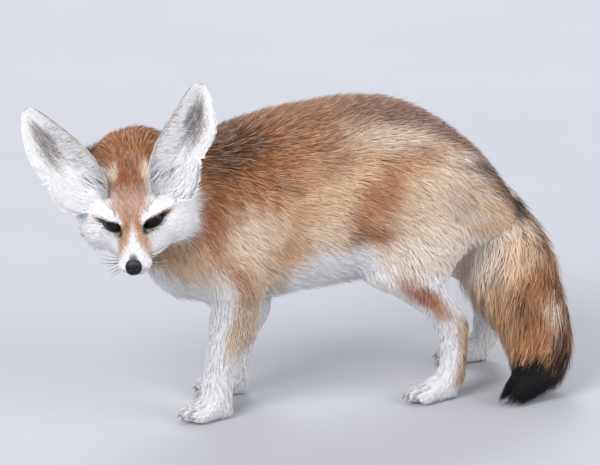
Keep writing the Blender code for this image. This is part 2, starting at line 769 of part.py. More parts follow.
def tail_at(share):
    """The tail's middle line and brush radius at shares of its length, going straight on past its end."""
    table = flowing(TAIL, 8)
    steps = np.linalg.norm(np.diff(table[:, :3], axis=0), axis=1)
    length = np.concatenate([[0], np.cumsum(steps)])
    length /= length[-1]
    share = np.atleast_1d(share)
    read = np.stack([np.interp(np.minimum(share, 1), length, table[:, k]) for k in range(4)], axis=1)
    on = (table[-1, :3] - table[-3, :3]) / (length[-1] - length[-3])
    read[:, :3] += np.maximum(share - 1, 0)[:, None] * on
    return read


def lock(name, points, widths, thicknesses, hint):
    """A tapered lock along a path: flat below, with a low ridge above, ending in a point."""
    _, side, rise = frames_along(points, np.array(hint, float))
    rings = []
    for point, s, r, wide, thick in zip(points, side, rise, widths, thicknesses):
        rings.append(np.array([point - s * wide, point + s * wide, point + r * thick]))
    bm = bmesh.new()
    add_rings(bm, rings)
    return object_from(bm, name)


def lock_along(name, points, out, width, thickness):
    """A lock whose flat side lies square to the way out from what it grows on."""
    points = np.array([p[:] for p in points])
    hint = np.cross(out, points[-1] - points[0])
    hint /= np.linalg.norm(hint)
    return lock(name, points, width * LOCK_WIDTHS, thickness * LOCK_THICKNESSES, hint)


def tail_lock(start, turn, chance):
    """One lock of the brush, from the core at a share of the tail's length out to the brush's outline."""
    reach = TAIL_LOCK_REACH * chance.uniform(0.88, 1.12)
    shares = start + reach * LOCK_STEPS
    table = tail_at(shares)
    ahead = tail_at(shares[-1] + 0.05)
    _, side, rise = frames_along(np.vstack([table, ahead])[:, :3], np.array([0, -1.0, 0]))
    out = side[:-1] * math.cos(turn) + rise[:-1] * math.sin(turn)
    closing = 1 - TAIL_TIP_TAPER * np.maximum(shares - TAIL_TIP_FROM, 0)
    brush = np.maximum(table[:, 3] * closing, 0.004)
    core = tail_at(start)[0, 3] * TAIL_CORE_SHARE - TAIL_LOCK_SINK
    swell = np.sin(LOCK_STEPS * math.pi / 2) ** TAIL_LOCK_SWELL
    lift = core + (brush * chance.uniform(0.93, 1.03) - core) * swell
    room = np.maximum(table[:, 2] - FLOOR_CLEARANCE, 0) / np.maximum(-out[:, 2], 1e-6)
    points = table[:, :3] + out * np.minimum(lift, room)[:, None]
    points[:, 2] = np.maximum(points[:, 2], FLOOR_CLEARANCE)
    width = TAIL_LOCK_WIDTH * chance.uniform(0.9, 1.1) * math.sqrt(brush[1] / TAIL[1][3])
    return lock_along("tail_lock", points, out[1], width, TAIL_LOCK_THICKNESS)


def tail_locks():
    """Locks down the tail, each a golden turn round from the last and over the next ones' roots."""
    chance = random.Random(7)
    golden = math.pi * (3 - math.sqrt(5))
    starts = np.linspace(TAIL_LOCKS_FROM, TAIL_LOCKS_TO, TAIL_LOCKS)
    return [tail_lock(start, golden * k, chance) for k, start in enumerate(starts)]


def cheek_point(tree, x, sign, turn, lift):
    """A place off the head at x in its axes, a turn up from level, found from its middle line."""
    out = head_vector(0, math.cos(turn) * sign, math.sin(turn))
    middle = HEAD_AXES @ Vector((x, 0, CHEEK[0][2] / 2))
    surface = tree.ray_cast(middle, out, HEAD_CELL[1])[0]
    return surface + out * lift


def ruff_locks(whole):
    """Pointed locks round each cheek, from below the ear to under the jaw, lying back and down."""
    tree = BVHTree.FromObject(whole, bpy.context.evaluated_depsgraph_get())
    chance = random.Random(11)
    made = []
    for _, sign in LEFT_RIGHT:
        for k in range(RUFF_LOCKS):
            turn = RUFF_TOP + (RUFF_BOTTOM - RUFF_TOP) * k / (RUFF_LOCKS - 1)
            length = RUFF_LENGTH * chance.uniform(0.88, 1.12)
            start = RUFF_START - 0.25 * RUFF_LENGTH * (k % 2)
            points = []
            for step in LOCK_STEPS:
                lift = (RUFF_LIFT + RUFF_SINK) * math.sin(step * math.pi / 2) - RUFF_SINK
                place = (start - length * step, sign, turn - RUFF_DROOP * step)
                points.append(cheek_point(tree, *place, lift))
            out = head_vector(0, math.cos(turn) * sign, math.sin(turn))
            made.append(lock_along("ruff_lock", points, out, RUFF_WIDTH, RUFF_THICKNESS))
    return made


def ear_locks(sign):
    """Long flat locks that cross the cup from its inner edge, rooted in the wall."""
    made = []
    chance = random.Random(3)
    facing = head_vector(*ear_axes(sign)[3])
    for k in range(EAR_LOCKS):
        s = EAR_LOCKS_FROM + (EAR_LOCKS_TO - EAR_LOCKS_FROM) * k / (EAR_LOCKS - 1)
        reach = (1.35 - 0.60 * s) * chance.uniform(0.92, 1.08)
        points = []
        for step in LOCK_STEPS:
            lift = EAR_WALL[1] / 2 + EAR_LOCK_LIFT * step
            place = ear_point(s + EAR_LOCK_CLIMB * step, reach * step - 0.93, sign, lift)
            points.append(HEAD_AXES @ place)
        made.append(lock_along("ear_lock", points, facing, EAR_LOCK_WIDTH, EAR_LOCK_THICKNESS))
    return made


def tail_cells():
    for name, colour, share in TAIL_CUTS:
        here, ahead = tail_at([share, share + 0.04])[:, :3]
        yield name, colour, dict(origin=here + TAIL_CELL_SHIFT, normal=ahead - here, size=TAIL_CELL)


def ear_cells():
    for side, sign in LEFT_RIGHT:
        root, tip, along, _, across = ear_axes(sign)
        start = HEAD_AXES @ root.lerp(tip, EAR_CUT)
        cell = dict(origin=start, normal=head_vector(*along), size=EAR_CELL, hint=head_vector(*across))
        yield "ear_" + side, "white_fur", cell


def leg_cells():
    for side in ("left", "right"):
        for legs, y, table in (("front_", FRONT_CELL_Y, FRONT_CELLS), ("hind_", HIND_CELL_Y, HIND_CELLS)):
            for name, colour, x, z, size in table:
                place = leg_point(legs + side, x, y, z)
                yield name + side, colour, dict(origin=place, normal=(0, 0, -1), size=size)
        x, y, z = THIGH_CUT
        place = (x + STEPS["hind_" + side][0] * THIGH_STEP_SHARE, y * side_sign(side), z)
        slope = (0, THIGH_CUT_SLOPE * side_sign(side), -1)
        yield "thigh_" + side, "sand_fur", dict(origin=place, normal=slope, size=THIGH_CELL)


def cells():
    """Name, colour and cell of each node that is cut from the whole, in the order of cutting."""
    back = HEAD_AXES @ Vector(HEAD_CUT)
    facing = head_vector(*HEAD_CUT_FACES)
    head = dict(origin=back, normal=facing, size=HEAD_CELL, hint=head_vector(0, 1, 0))
    middle = TRUNK[len(TRUNK) // 2][1] * 0.7
    return [
        *tail_cells(),
        *ear_cells(),
        ("head", "white_fur", head),
        ("neck", "tawny_fur", dict(origin=NECK_CUT, normal=NECK_CUT_FACES, size=NECK_CELL)),
        *leg_cells(),
        ("rump", "sand_fur", dict(origin=(BELLY_BACK, 0, middle), normal=(1, 0, 0), size=TRUNK_CELL)),
        ("chest", "sand_fur", dict(origin=(BELLY_FRONT, 0, middle), normal=(-1, 0, 0), size=TRUNK_CELL)),
    ]


def centre_on_floor():
    """Moves everything so that the origin is under the middle of the whole, on the floor."""
    bpy.context.view_layer.update()
    low, high = np.full(3, 1e9), np.full(3, -1e9)
    shown = [o for o in bpy.data.objects if o.type == "MESH"]
    for thing in shown:
        points = np.array([v.co[:] for v in thing.data.vertices])
        low, high = np.minimum(low, points.min(0)), np.maximum(high, points.max(0))
    middle = (low + high) / 2
    for thing in shown:
        thing.data.transform(Matrix.Translation((-middle[0], -middle[1], 0)))


def main():
    clear_scene()
    whole = flesh()
    below_floor = box(origin=(0, 0, 0), normal=(0, 0, -1), size=(0.02, 0.3, 0.3))
    boolean(whole, [below_floor], "DIFFERENCE")
    pieces = tail_locks() + ruff_locks(whole)
    for side, sign in LEFT_RIGHT:
        pieces += [ear(side, sign)] + ear_locks(sign)
    boolean(whole, pieces, "UNION")
    nodes = {}
    for name, colour, cell in cells():
        nodes[name] = finish(part_off(whole, name, cell), name, colour)
    finish(whole, "belly", "sand_fur")
    finish(carve_face(nodes["head"]), "head", "white_fur")
    finish(nose(), "nose", "nose_skin")
    for side, sign in LEFT_RIGHT:
        finish(ball("eye", eye_frame(sign)[0], EYE_RADIUS), "eye_" + side, "eye")
    for which, (rows, placed) in paws().items():
        paw = nodes["paw_" + which]
        places = toe_places(rows)
        boolean(paw, [claw("seat", place, placed, GAP) for place in places], "DIFFERENCE")
        finish(largest_surface(paw), paw.name, "white_fur")
        for i, place in enumerate(places):
            name = f"claw_{which}_{i + 1}"
            finish(claw(name, place, placed), name, "claw")
    centre_on_floor()


main()
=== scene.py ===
# Fennec fox, a still life-size model: skin, coat, eyes, nose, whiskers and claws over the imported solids.
# Shapes are worked out in the design's own axes, in metres: the fox faces -X, its left is -Y, Z is up.
import math
import bpy
import bmesh
import numpy as np
from mathutils import Matrix, Vector
from mathutils.bvhtree import BVHTree


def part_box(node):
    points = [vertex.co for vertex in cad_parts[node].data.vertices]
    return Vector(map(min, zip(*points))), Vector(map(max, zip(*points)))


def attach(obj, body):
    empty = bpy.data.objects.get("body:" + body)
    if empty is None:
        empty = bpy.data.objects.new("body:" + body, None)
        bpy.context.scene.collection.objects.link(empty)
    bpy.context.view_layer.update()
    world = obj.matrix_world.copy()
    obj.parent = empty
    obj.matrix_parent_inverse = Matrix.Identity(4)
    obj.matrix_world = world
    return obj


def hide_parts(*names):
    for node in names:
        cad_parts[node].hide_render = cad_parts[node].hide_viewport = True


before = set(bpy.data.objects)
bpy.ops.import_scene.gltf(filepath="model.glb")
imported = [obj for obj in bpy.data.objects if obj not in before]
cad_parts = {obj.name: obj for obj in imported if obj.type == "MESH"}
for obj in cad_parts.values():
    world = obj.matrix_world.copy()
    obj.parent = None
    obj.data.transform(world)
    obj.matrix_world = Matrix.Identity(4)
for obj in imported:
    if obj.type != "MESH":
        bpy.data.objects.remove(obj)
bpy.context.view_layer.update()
bodyName = "root"


# Small helpers.

def unit(vectors):  # each vector over its own length
    return vectors / np.maximum(np.linalg.norm(vectors, axis=-1, keepdims=True), 1e-12)


def smooth(low, high, value):  # 0 at low, 1 at high, flat at both ends
    share = np.clip((value - low) / (high - low), 0, 1)
    return share * share * (3 - 2 * share)


def mix(first, second, share):  # first plus a share of the way to second
    share = np.asarray(share)
    return first + (second - first) * (share[:, None] if share.ndim else share)


def colour(name):  # screen colour to the light that it stands for
    c = np.array(palette[name]) / 255
    return np.where(c <= 0.04045, c / 12.92, ((c + 0.055) / 1.055) ** 2.4)


# Smooth chance from about -1 to 1: sine waves about `size` long, in random directions, added up.
def waves(points, size, seed, count=7):
    chance = np.random.default_rng(seed)
    directions = unit(chance.normal(size=(count, 3)))
    lengths = size * chance.uniform(0.7, 1.5, count)
    phases = chance.uniform(0, 2 * np.pi, count)
    return np.sin(2 * np.pi * (points @ directions.T) / lengths + phases).sum(1) / math.sqrt(count)


# Rows read off a smooth curve through the given rows (Catmull-Rom), `steps` to a span.
def flowing(rows, steps):
    rows = np.array(rows, float)
    rows = np.vstack([2 * rows[0] - rows[1], rows, 2 * rows[-1] - rows[-2]])
    a, b, c, d = rows[:-3], rows[1:-2], rows[2:-1], rows[3:]
    t = (np.arange(steps) / steps)[:, None, None]
    read = 2 * b + (c - a) * t + (2 * a - 5 * b + 4 * c - d) * t**2 + (3 * b - a - 3 * c + d) * t**3
    return np.vstack([0.5 * read.transpose(1, 0, 2).reshape(-1, rows.shape[1]), rows[-2]])


def paint(tone, *layers):  # each layer: a colour or its name, and how far it covers what is below
    for name, share in layers:
        tone = mix(tone, colour(name) if isinstance(name, str) else name, share)
    return tone


def plain(name, values):  # one colour for every value
    return np.tile(colour(name), (len(values), 1))


def turnsOf(sides):  # even turns round a circle, in radians
    return np.arange(sides) * 2 * np.pi / sides


def powered(wave, power):  # the size of a wave to a power, with its sign kept
    return np.sign(wave) * np.abs(wave) ** power


def superellipse(sides, roundness):  # the cosine and sine of a turn, each to the power two over roundness
    return [powered(wave(turnsOf(sides)), 2 / roundness) for wave in (np.cos, np.sin)]


def triangles(quads):  # two from each square
    return np.vstack([quads[:, [0, 1, 2]], quads[:, [0, 2, 3]]])


# Corners of the squares between a grid's rows and columns, and across its seam if it is closed.
def gridQuads(rows, columns, closed=True):
    i, j = np.meshgrid(np.arange(rows - 1), np.arange(columns if closed else columns - 1), indexing="ij")
    a, b = (i * columns + j).ravel(), (i * columns + (j + 1) % columns).ravel()
    return np.column_stack([a, b, b + columns, a + columns])


# A mesh's faces turned to point outwards, or towards a given way.
def turnedOut(mesh, towards=None):
    bm = bmesh.new()
    bm.from_mesh(mesh)
    bmesh.ops.recalc_face_normals(bm, faces=bm.faces)
    if towards is not None and sum(face.normal.dot(Vector(towards)) for face in bm.faces) < 0:
        bmesh.ops.reverse_faces(bm, faces=bm.faces)
    bm.to_mesh(mesh)
    bm.free()
    return mesh


# The animal's own shape, the same sizes as the solids.

trunk = {  # x, back line, belly line, half width
    "rows": [
        (-0.148, 0.165, 0.112, 0.022), (-0.132, 0.188, 0.091, 0.037), (-0.100, 0.2065, 0.082, 0.047),
        (-0.060, 0.2185, 0.0815, 0.0515), (-0.020, 0.2235, 0.0855, 0.053), (0.020, 0.225, 0.0885, 0.054),
        (0.055, 0.217, 0.0925, 0.053), (0.085, 0.199, 0.097, 0.049), (0.110, 0.176, 0.103, 0.042),
        (0.130, 0.150, 0.112, 0.029), (0.139, 0.136, 0.122, 0.014),
    ],
    "roundness": 2.25,
}
neck = {  # x, y, z, half width, half depth
    "rows": [
        (-0.075, 0.000, 0.156, 0.047, 0.054), (-0.105, -0.001, 0.163, 0.044, 0.050),
        (-0.130, -0.007, 0.168, 0.039, 0.046), (-0.148, -0.015, 0.173, 0.036, 0.043),
        (-0.160, -0.026, 0.176, 0.034, 0.038),
    ],
}
legs = {
    "front": [  # z, front edge, back edge, y for a right leg, half width
        (0.165, -0.122, -0.066, 0.022, 0.020), (0.125, -0.122, -0.056, 0.027, 0.023),
        (0.100, -0.1115, -0.062, 0.028, 0.0195), (0.085, -0.1065, -0.070, 0.0275, 0.0158),
        (0.060, -0.1082, -0.0738, 0.0265, 0.0125), (0.044, -0.110, -0.084, 0.0258, 0.0112),
        (0.030, -0.1118, -0.089, 0.0252, 0.0108), (0.018, -0.114, -0.090, 0.025, 0.0112),
        (0.009, -0.115, -0.0915, 0.025, 0.0112),
    ],
    "hind": [
        (0.185, 0.048, 0.102, 0.020, 0.022), (0.150, 0.022, 0.112, 0.0255, 0.0265),
        (0.120, 0.009, 0.098, 0.030, 0.026), (0.098, 0.0065, 0.0785, 0.0335, 0.022),
        (0.083, 0.027, 0.0735, 0.037, 0.0172), (0.067, 0.0495, 0.083, 0.040, 0.0125),
        (0.0565, 0.061, 0.0885, 0.041, 0.0108), (0.040, 0.0675, 0.0882, 0.041, 0.0094),
        (0.020, 0.0658, 0.0866, 0.041, 0.0094), (0.010, 0.060, 0.086, 0.041, 0.0098),
    ],
    "steps": {  # how far each foot stands behind, and to the right of, its place above
        "front_left": (0.0, 0.0), "front_right": (0.030, -0.003),
        "hind_left": (0.0, 0.0), "hind_right": (0.055, -0.010),
    },
    "stepFreeAbove": 0.165, "stepFullBelow": 0.0565, "roundness": 2.2,
}
paws = {
    "front": [  # forward from the heel, top, half width
        (0.0, 0.0150, 0.0080), (0.010, 0.0198, 0.0108), (0.020, 0.0160, 0.0118), (0.0275, 0.0100, 0.0106)],
    "hind": [
        (0.0, 0.0150, 0.0075), (0.010, 0.0198, 0.0096), (0.021, 0.0160, 0.0106), (0.0290, 0.0100, 0.0098)],
    "heel": {"front": (-0.0925, 0.025), "hind": (0.0780, 0.041)},
    "sole": -0.002,
    "turnOut": math.radians(7),
    "toeAcross": (-0.0100, -0.0034, 0.0034, 0.0100),
    "toeForward": (-0.0020, 0.0025, 0.0025, -0.0020),
    "toeRadii": (0.0090, 0.0040, 0.0068),
}
head = {  # in the head's own axes: x forward, y to its left, z up
    "place": np.array([-0.1760, -0.0590, 0.1655]),
    "turn": math.radians(69), "pitch": math.radians(14), "roll": math.radians(8), "roundness": 2.2,
    "rows": [  # x, top, bottom, half width
        (0.0375, -0.0125, -0.0215, 0.0050), (0.0335, -0.0092, -0.0232, 0.0078),
        (0.0270, -0.0066, -0.0248, 0.0102), (0.0180, -0.0034, -0.0268, 0.0124),
        (0.0090, 0.0014, -0.0290, 0.0148), (0.0010, 0.0080, -0.0330, 0.0190),
        (-0.0070, 0.0156, -0.0340, 0.0275), (-0.0160, 0.0220, -0.0345, 0.0345),
        (-0.0280, 0.0266, -0.0345, 0.0385), (-0.0420, 0.0296, -0.0320, 0.0380),
        (-0.0560, 0.0335, -0.0275, 0.0360), (-0.0700, 0.0362, -0.0220, 0.0325),
        (-0.0820, 0.0325, -0.0140, 0.0260),
    ],
    "swellings": {  # place and radii, on both sides
        "cheek": ((-0.0240, 0.0235, -0.0130), (0.0190, 0.0155, 0.0175)),
        "whiskerPad": ((0.0275, 0.0052, -0.0170), (0.0085, 0.0078, 0.0058)),
        "chin": ((0.0225, 0.0028, -0.0240), (0.0095, 0.0052, 0.0036)),
        "earBase": ((-0.0320, 0.0240, 0.0130), (0.0130, 0.0140, 0.0165)),
        "lids": ((-0.0058, 0.0128, -0.0004), (0.0106, 0.0106, 0.0106)),
    },
}
tail = {  # x, y, z, radius of the brush
    "rows": [
        (0.1120, 0.000, 0.1450, 0.0300), (0.1250, -0.004, 0.1180, 0.0345), (0.1320, -0.014, 0.0910, 0.0350),
        (0.1385, -0.031, 0.0650, 0.0315), (0.1415, -0.050, 0.0420, 0.0265), (0.1360, -0.064, 0.0260, 0.0215),
        (0.1265, -0.071, 0.0160, 0.0110),
    ],
    "coreShare": 0.46,
}


# Three directions of the head (forward, left, up): turned about Z, pitched down, then rolled.
def headDirections():
    cosTurn, sinTurn = math.cos(head["turn"]), math.sin(head["turn"])
    cosPitch, sinPitch = math.cos(head["pitch"]), math.sin(head["pitch"])
    forward = np.array([-cosTurn * cosPitch, -sinTurn * cosPitch, -sinPitch])
    levelUp = np.array([-cosTurn * sinPitch, -sinTurn * sinPitch, cosPitch])
    levelLeft = np.cross(levelUp, forward)
    left = levelLeft * math.cos(head["roll"]) + levelUp * math.sin(head["roll"])
    up = levelUp * math.cos(head["roll"]) - levelLeft * math.sin(head["roll"])
    return np.array([forward, left, up])


headAxes = headDirections()


def fromHead(points):  # head coordinates times the head's axes, plus its place
    return np.asarray(points, float) @ headAxes + head["place"]


def toHead(points):  # the way back
    return (points - head["place"]) @ headAxes.T


# Directions along a line: its run, a side square to it from the hint, and their cross product.
def framesAlong(points, hint):
    run = unit(np.gradient(points, axis=0))
    side = unit(hint - run * (run @ np.asarray(hint, float))[:, None])
    return run, side, np.cross(run, side)


# A body swept along a line of centres, with its two half sizes at each.
def loft(centre, side, rise, half, roundness):
    run = unit(np.gradient(centre, axis=0))
    return {"centre": centre, "side": side, "rise": rise, "half": half, "roundness": roundness, "run": run}


# A loft from rows of x, top, bottom and half width, laid along the given axes.
def loftAcross(rows, roundness, axes=np.eye(3), place=0):
    rows = flowing(rows, 3)
    middle = np.column_stack([rows[:, 0], 0 * rows[:, 0], (rows[:, 1] + rows[:, 2]) / 2])
    half = np.column_stack([rows[:, 3], (rows[:, 1] - rows[:, 2]) / 2])
    side, rise = (np.tile(axes[k], (len(rows), 1)) for k in (1, 2))
    return loft(middle @ axes + place, side, rise, half, roundness)


# A leg's loft from rows of z, front edge, back edge, y and half width: every ring is level.
def loftLevel(rows):
    half = np.column_stack([rows[:, 4], (rows[:, 2] - rows[:, 1]) / 2])
    centre = np.column_stack([(rows[:, 1] + rows[:, 2]) / 2, rows[:, 3], rows[:, 0]])
    side, rise = np.tile([0.0, 1.0, 0.0], (len(rows), 1)), np.tile([1.0, 0.0, 0.0], (len(rows), 1))
    return loft(centre, side, rise, half, legs["roundness"])


# A loft from rows of x, y, z and two half sizes, square to its own line.
def loftAlong(rows, steps, hint, roundness=2.0):
    rows = flowing(rows, steps)
    _, side, rise = framesAlong(rows[:, :3], hint)
    return loft(rows[:, :3], side, rise, rows[:, 3:5], roundness)


# A leg's rows, set back and sideways by its step, which grows from the body down to the foot.
def legRows(which):
    sign = -1 if which.endswith("left") else 1
    backStep, rightStep = legs["steps"][which]
    rows = flowing(legs[which.split("_")[0]], 3)
    share = smooth(legs["stepFreeAbove"], legs["stepFullBelow"], rows[:, 0])
    rows[:, 1] += backStep * share
    rows[:, 2] += backStep * share
    rows[:, 3] = rows[:, 3] * sign + rightStep * share
    return rows


# Where a paw's heel is, and its three directions: forward, across, up.
def pawPlace(which):
    sign = -1 if which.endswith("left") else 1
    x, y = paws["heel"][which.split("_")[0]]
    backStep, rightStep = legs["steps"][which]
    turn = math.pi - paws["turnOut"] * sign
    forward = np.array([math.cos(turn), math.sin(turn), 0])
    axes = np.array([forward, [-forward[1], forward[0], 0], [0, 0, 1]])
    return np.array([x + backStep, y * sign + rightStep, 0]), axes


# Middles of a paw's four toes, in the paw's own directions.
def toePlaces(which):
    rows = paws[which.split("_")[0]]
    width = rows[-1][2] / paws["front"][-1][2]
    return np.array([
        (rows[-1][0] + forward, across * width, paws["toeRadii"][2] - 0.001)
        for across, forward in zip(paws["toeAcross"], paws["toeForward"])
    ])


# The tail's middle line and brush radius at shares of its length, going straight on past its end.
def tailAt(share):
    table = flowing(tail["rows"], 8)
    length = np.concatenate([[0], np.cumsum(np.linalg.norm(np.diff(table[:, :3], axis=0), axis=1))])
    length /= length[-1]
    read = np.stack([np.interp(np.minimum(share, 1), length, table[:, k]) for k in range(4)], axis=-1)
    on = (table[-1, :3] - table[-3, :3]) / (length[-1] - length[-3])
    read[..., :3] += np.maximum(share - 1, 0)[..., None] * on
    return read


# Every stretch of the animal as a loft, by name.
def makeLofts():
    core = [(*row[:3], row[3] * tail["coreShare"], row[3] * tail["coreShare"]) for row in tail["rows"]]
    made = {
        "trunk": loftAcross(trunk["rows"], trunk["roundness"]),
        "neck": loftAlong(neck["rows"], 3, (0, -1, 0)),
        "head": loftAcross(head["rows"], head["roundness"], headAxes, head["place"]),
        "tail": loftAlong(core, 4, (0, -1, 0)),
    }
    for which in legs["steps"]:
        made[which] = loftLevel(legRows(which))
    return made


lofts = makeLofts()
stretches = list(lofts)
headColumn = stretches.index("head")


# Rings round a loft's line: its side and rise, times its half sizes, times a superellipse.
def tubeGrid(shape, sides):
    across, along = superellipse(sides, shape["roundness"])
    a = shape["half"][:, :1, None] * across[None, :, None] * shape["side"][:, None, :]
    b = shape["half"][:, 1:, None] * along[None, :, None] * shape["rise"][:, None, :]
    return shape["centre"][:, None, :] + a + b


# Points and triangles of rings joined into a tube, each end drawn to its middle.
def closedTube(grid):
    rings, sides = grid.shape[:2]
    points = np.vstack([grid.reshape(-1, 3), grid[0].mean(0), grid[-1].mean(0)])
    ring = np.arange(sides)
    after, last = (ring + 1) % sides, (rings - 1) * sides
    faces = np.vstack([
        triangles(gridQuads(rings, sides)),
        np.column_stack([np.full(sides, rings * sides), after, ring]),
        np.column_stack([np.full(sides, rings * sides + 1), last + ring, last + after]),
    ])
    return points, faces


# An ellipsoid's rings: sine and cosine of two turns, times three radii.
def ballGrid(centre, radii, axes, sides=20, rings=12):
    down = (np.arange(rings) + 0.5) * np.pi / rings
    turn = turnsOf(sides)
    x = np.cos(down)[:, None] * np.ones(sides)
    y = np.sin(down)[:, None] * np.cos(turn)
    z = np.sin(down)[:, None] * np.sin(turn)
    return centre + (np.stack([x, y, z], axis=-1) * radii) @ axes


# Tubes of many grids as one list of points and one of triangles.
def joinedTubes(grids):
    points, faces, start = [], [], 0
    for grid in grids:
        tubePoints, tubeFaces = closedTube(grid)
        points.append(tubePoints)
        faces.append(tubeFaces + start)
        start += len(tubePoints)
    return np.vstack(points), np.vstack(faces)


# Middle of the two packed eyes, which shows how far packing moved the model.
def eyeMiddle():
    corners = [*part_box("eye_left"), *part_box("eye_right")]
    return np.array(sum(corners[1:], corners[0]) / 4)


eyes = {
    "place": (-0.0058, 0.0128, -0.0004), "radius": 0.0085, "opening": (0.0169, 0.0083),
    "outward": math.radians(24), "slant": math.radians(9),
}
shift = eyeMiddle() - fromHead((eyes["place"][0], 0, eyes["place"][2]))
shift[2] = 0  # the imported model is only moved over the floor


# Making meshes and pieces.

def objectFrom(name, data):  # an object of the given data, put into the scene
    made = bpy.data.objects.new(name, data)
    bpy.context.scene.collection.objects.link(made)
    return made


# A mesh from whole arrays. Colours and places on the bake map are one to a point.
def meshFrom(name, points, faces, colours=None, bakePlaces=None, normals=None):
    mesh = bpy.data.meshes.new(name)
    mesh.vertices.add(len(points))
    mesh.vertices.foreach_set("co", (points + shift).astype(np.float32).ravel())
    corners = faces.astype(np.int32).ravel()
    mesh.loops.add(len(corners))
    mesh.loops.foreach_set("vertex_index", corners)
    mesh.polygons.add(len(faces))
    mesh.polygons.foreach_set("loop_start", np.arange(0, len(corners), faces.shape[1], dtype=np.int32))
    mesh.update(calc_edges=True)
    mesh.shade_smooth()
    if colours is not None:
        layer = mesh.color_attributes.new(name="coat", type="FLOAT_COLOR", domain="POINT")
        values = np.column_stack([colours, np.ones(len(colours))])
        layer.data.foreach_set("color", values.astype(np.float32).ravel())
    if bakePlaces is not None:
        layer = mesh.uv_layers.new(name="OFBake")
        layer.data.foreach_set("uv", bakePlaces[corners].astype(np.float32).ravel())
    if normals is not None:
        mesh.normals_split_custom_set_from_vertices(normals.astype(np.float32))
    return mesh


# An object that rides the model's one body, in its material slot, in place of the named nodes.
def piece(name, mesh, material, replaced=()):
    made = objectFrom(name, mesh)
    mesh.materials.append(material)
    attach(made, bodyName)
    if replaced:
        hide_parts(*replaced)
    return made


# A new material and its nodes, with the named sockets of its main shader set.
def newMaterial(name, **sockets):
    material = bpy.data.materials.new(name)
    material.use_nodes = True
    shader = material.node_tree.nodes["Principled BSDF"]
    for socket, value in sockets.items():
        shader.inputs[socket.replace("_", " ")].default_value = value
    return material, material.node_tree.nodes, material.node_tree.links, shader


# Noise over the object's own coordinates.
def noiseNode(nodes, links, scale, detail=3.0):
    place = nodes.new("ShaderNodeTexCoord")
    noise = nodes.new("ShaderNodeTexNoise")
    noise.inputs["Scale"].default_value = scale
    noise.inputs["Detail"].default_value = detail
    links.new(place.outputs["Object"], noise.inputs["Vector"])
    return noise.outputs["Fac"]


# The middle of a noise's range, 0.3 to 0.7, spread from low to high.
def ranged(nodes, links, value, low, high):
    made = nodes.new("ShaderNodeMapRange")
    limits = {"From Min": 0.3, "From Max": 0.7, "To Min": low, "To Max": high}
    for socket, limit in limits.items():
        made.inputs[socket].default_value = limit
    links.new(value, made.inputs["Value"])
    return made.outputs["Result"]


# A surface coloured by its own attribute, with a fine grain in its colour, gloss and height.
def paintedMaterial(name, grain, strength, roughness, bump=0.0, bumpScale=900, **sockets):
    material, nodes, links, shader = newMaterial(name, **sockets)
    painted = nodes.new("ShaderNodeAttribute")
    painted.attribute_name = "coat"
    fine = noiseNode(nodes, links, grain)
    shade = ranged(nodes, links, fine, 1 - strength, 1 + strength)
    scaled = nodes.new("ShaderNodeVectorMath")
    scaled.operation = "SCALE"
    links.new(painted.outputs["Color"], scaled.inputs[0])
    links.new(shade, scaled.inputs["Scale"])
    links.new(scaled.outputs["Vector"], shader.inputs["Base Color"])
    links.new(ranged(nodes, links, fine, roughness[0], roughness[1]), shader.inputs["Roughness"])
    if bump:
        height = noiseNode(nodes, links, bumpScale, 4.0)
        bumped = nodes.new("ShaderNodeBump")
        bumped.inputs["Strength"].default_value = bump
        bumped.inputs["Distance"].default_value = 0.0006
        links.new(height, bumped.inputs["Height"])
        links.new(bumped.outputs["Normal"], shader.inputs["Normal"])
    return material


palette = {  # screen colours, 0 to 255
    "white": (240, 237, 234), "cream": (228, 206, 182), "sand": (214, 180, 146), "tan": (184, 134, 90),
    "tawny": (150, 96, 54), "rust": (158, 94, 52), "brown": (84, 49, 29), "umber": (66, 44, 30),
    "mauve": (122, 88, 74), "grey": (97, 86, 80), "slate": (74, 68, 70), "black": (9, 8, 9),
    "pink": (180, 142, 120), "lid": (24, 20, 20), "nose": (11, 10, 12), "noseTopSheen": (44, 45, 58),
    "iris": (38, 22, 13), "pupil": (6, 5, 5), "claw": (92, 76, 66), "whisker": (40, 34, 34),
}


# Skin.

skinMake = {"voxel": 0.0015, "smoothing": 7, "meltBlend": 0.0035, "pawRoundness": 2.6, "under": 0.72}


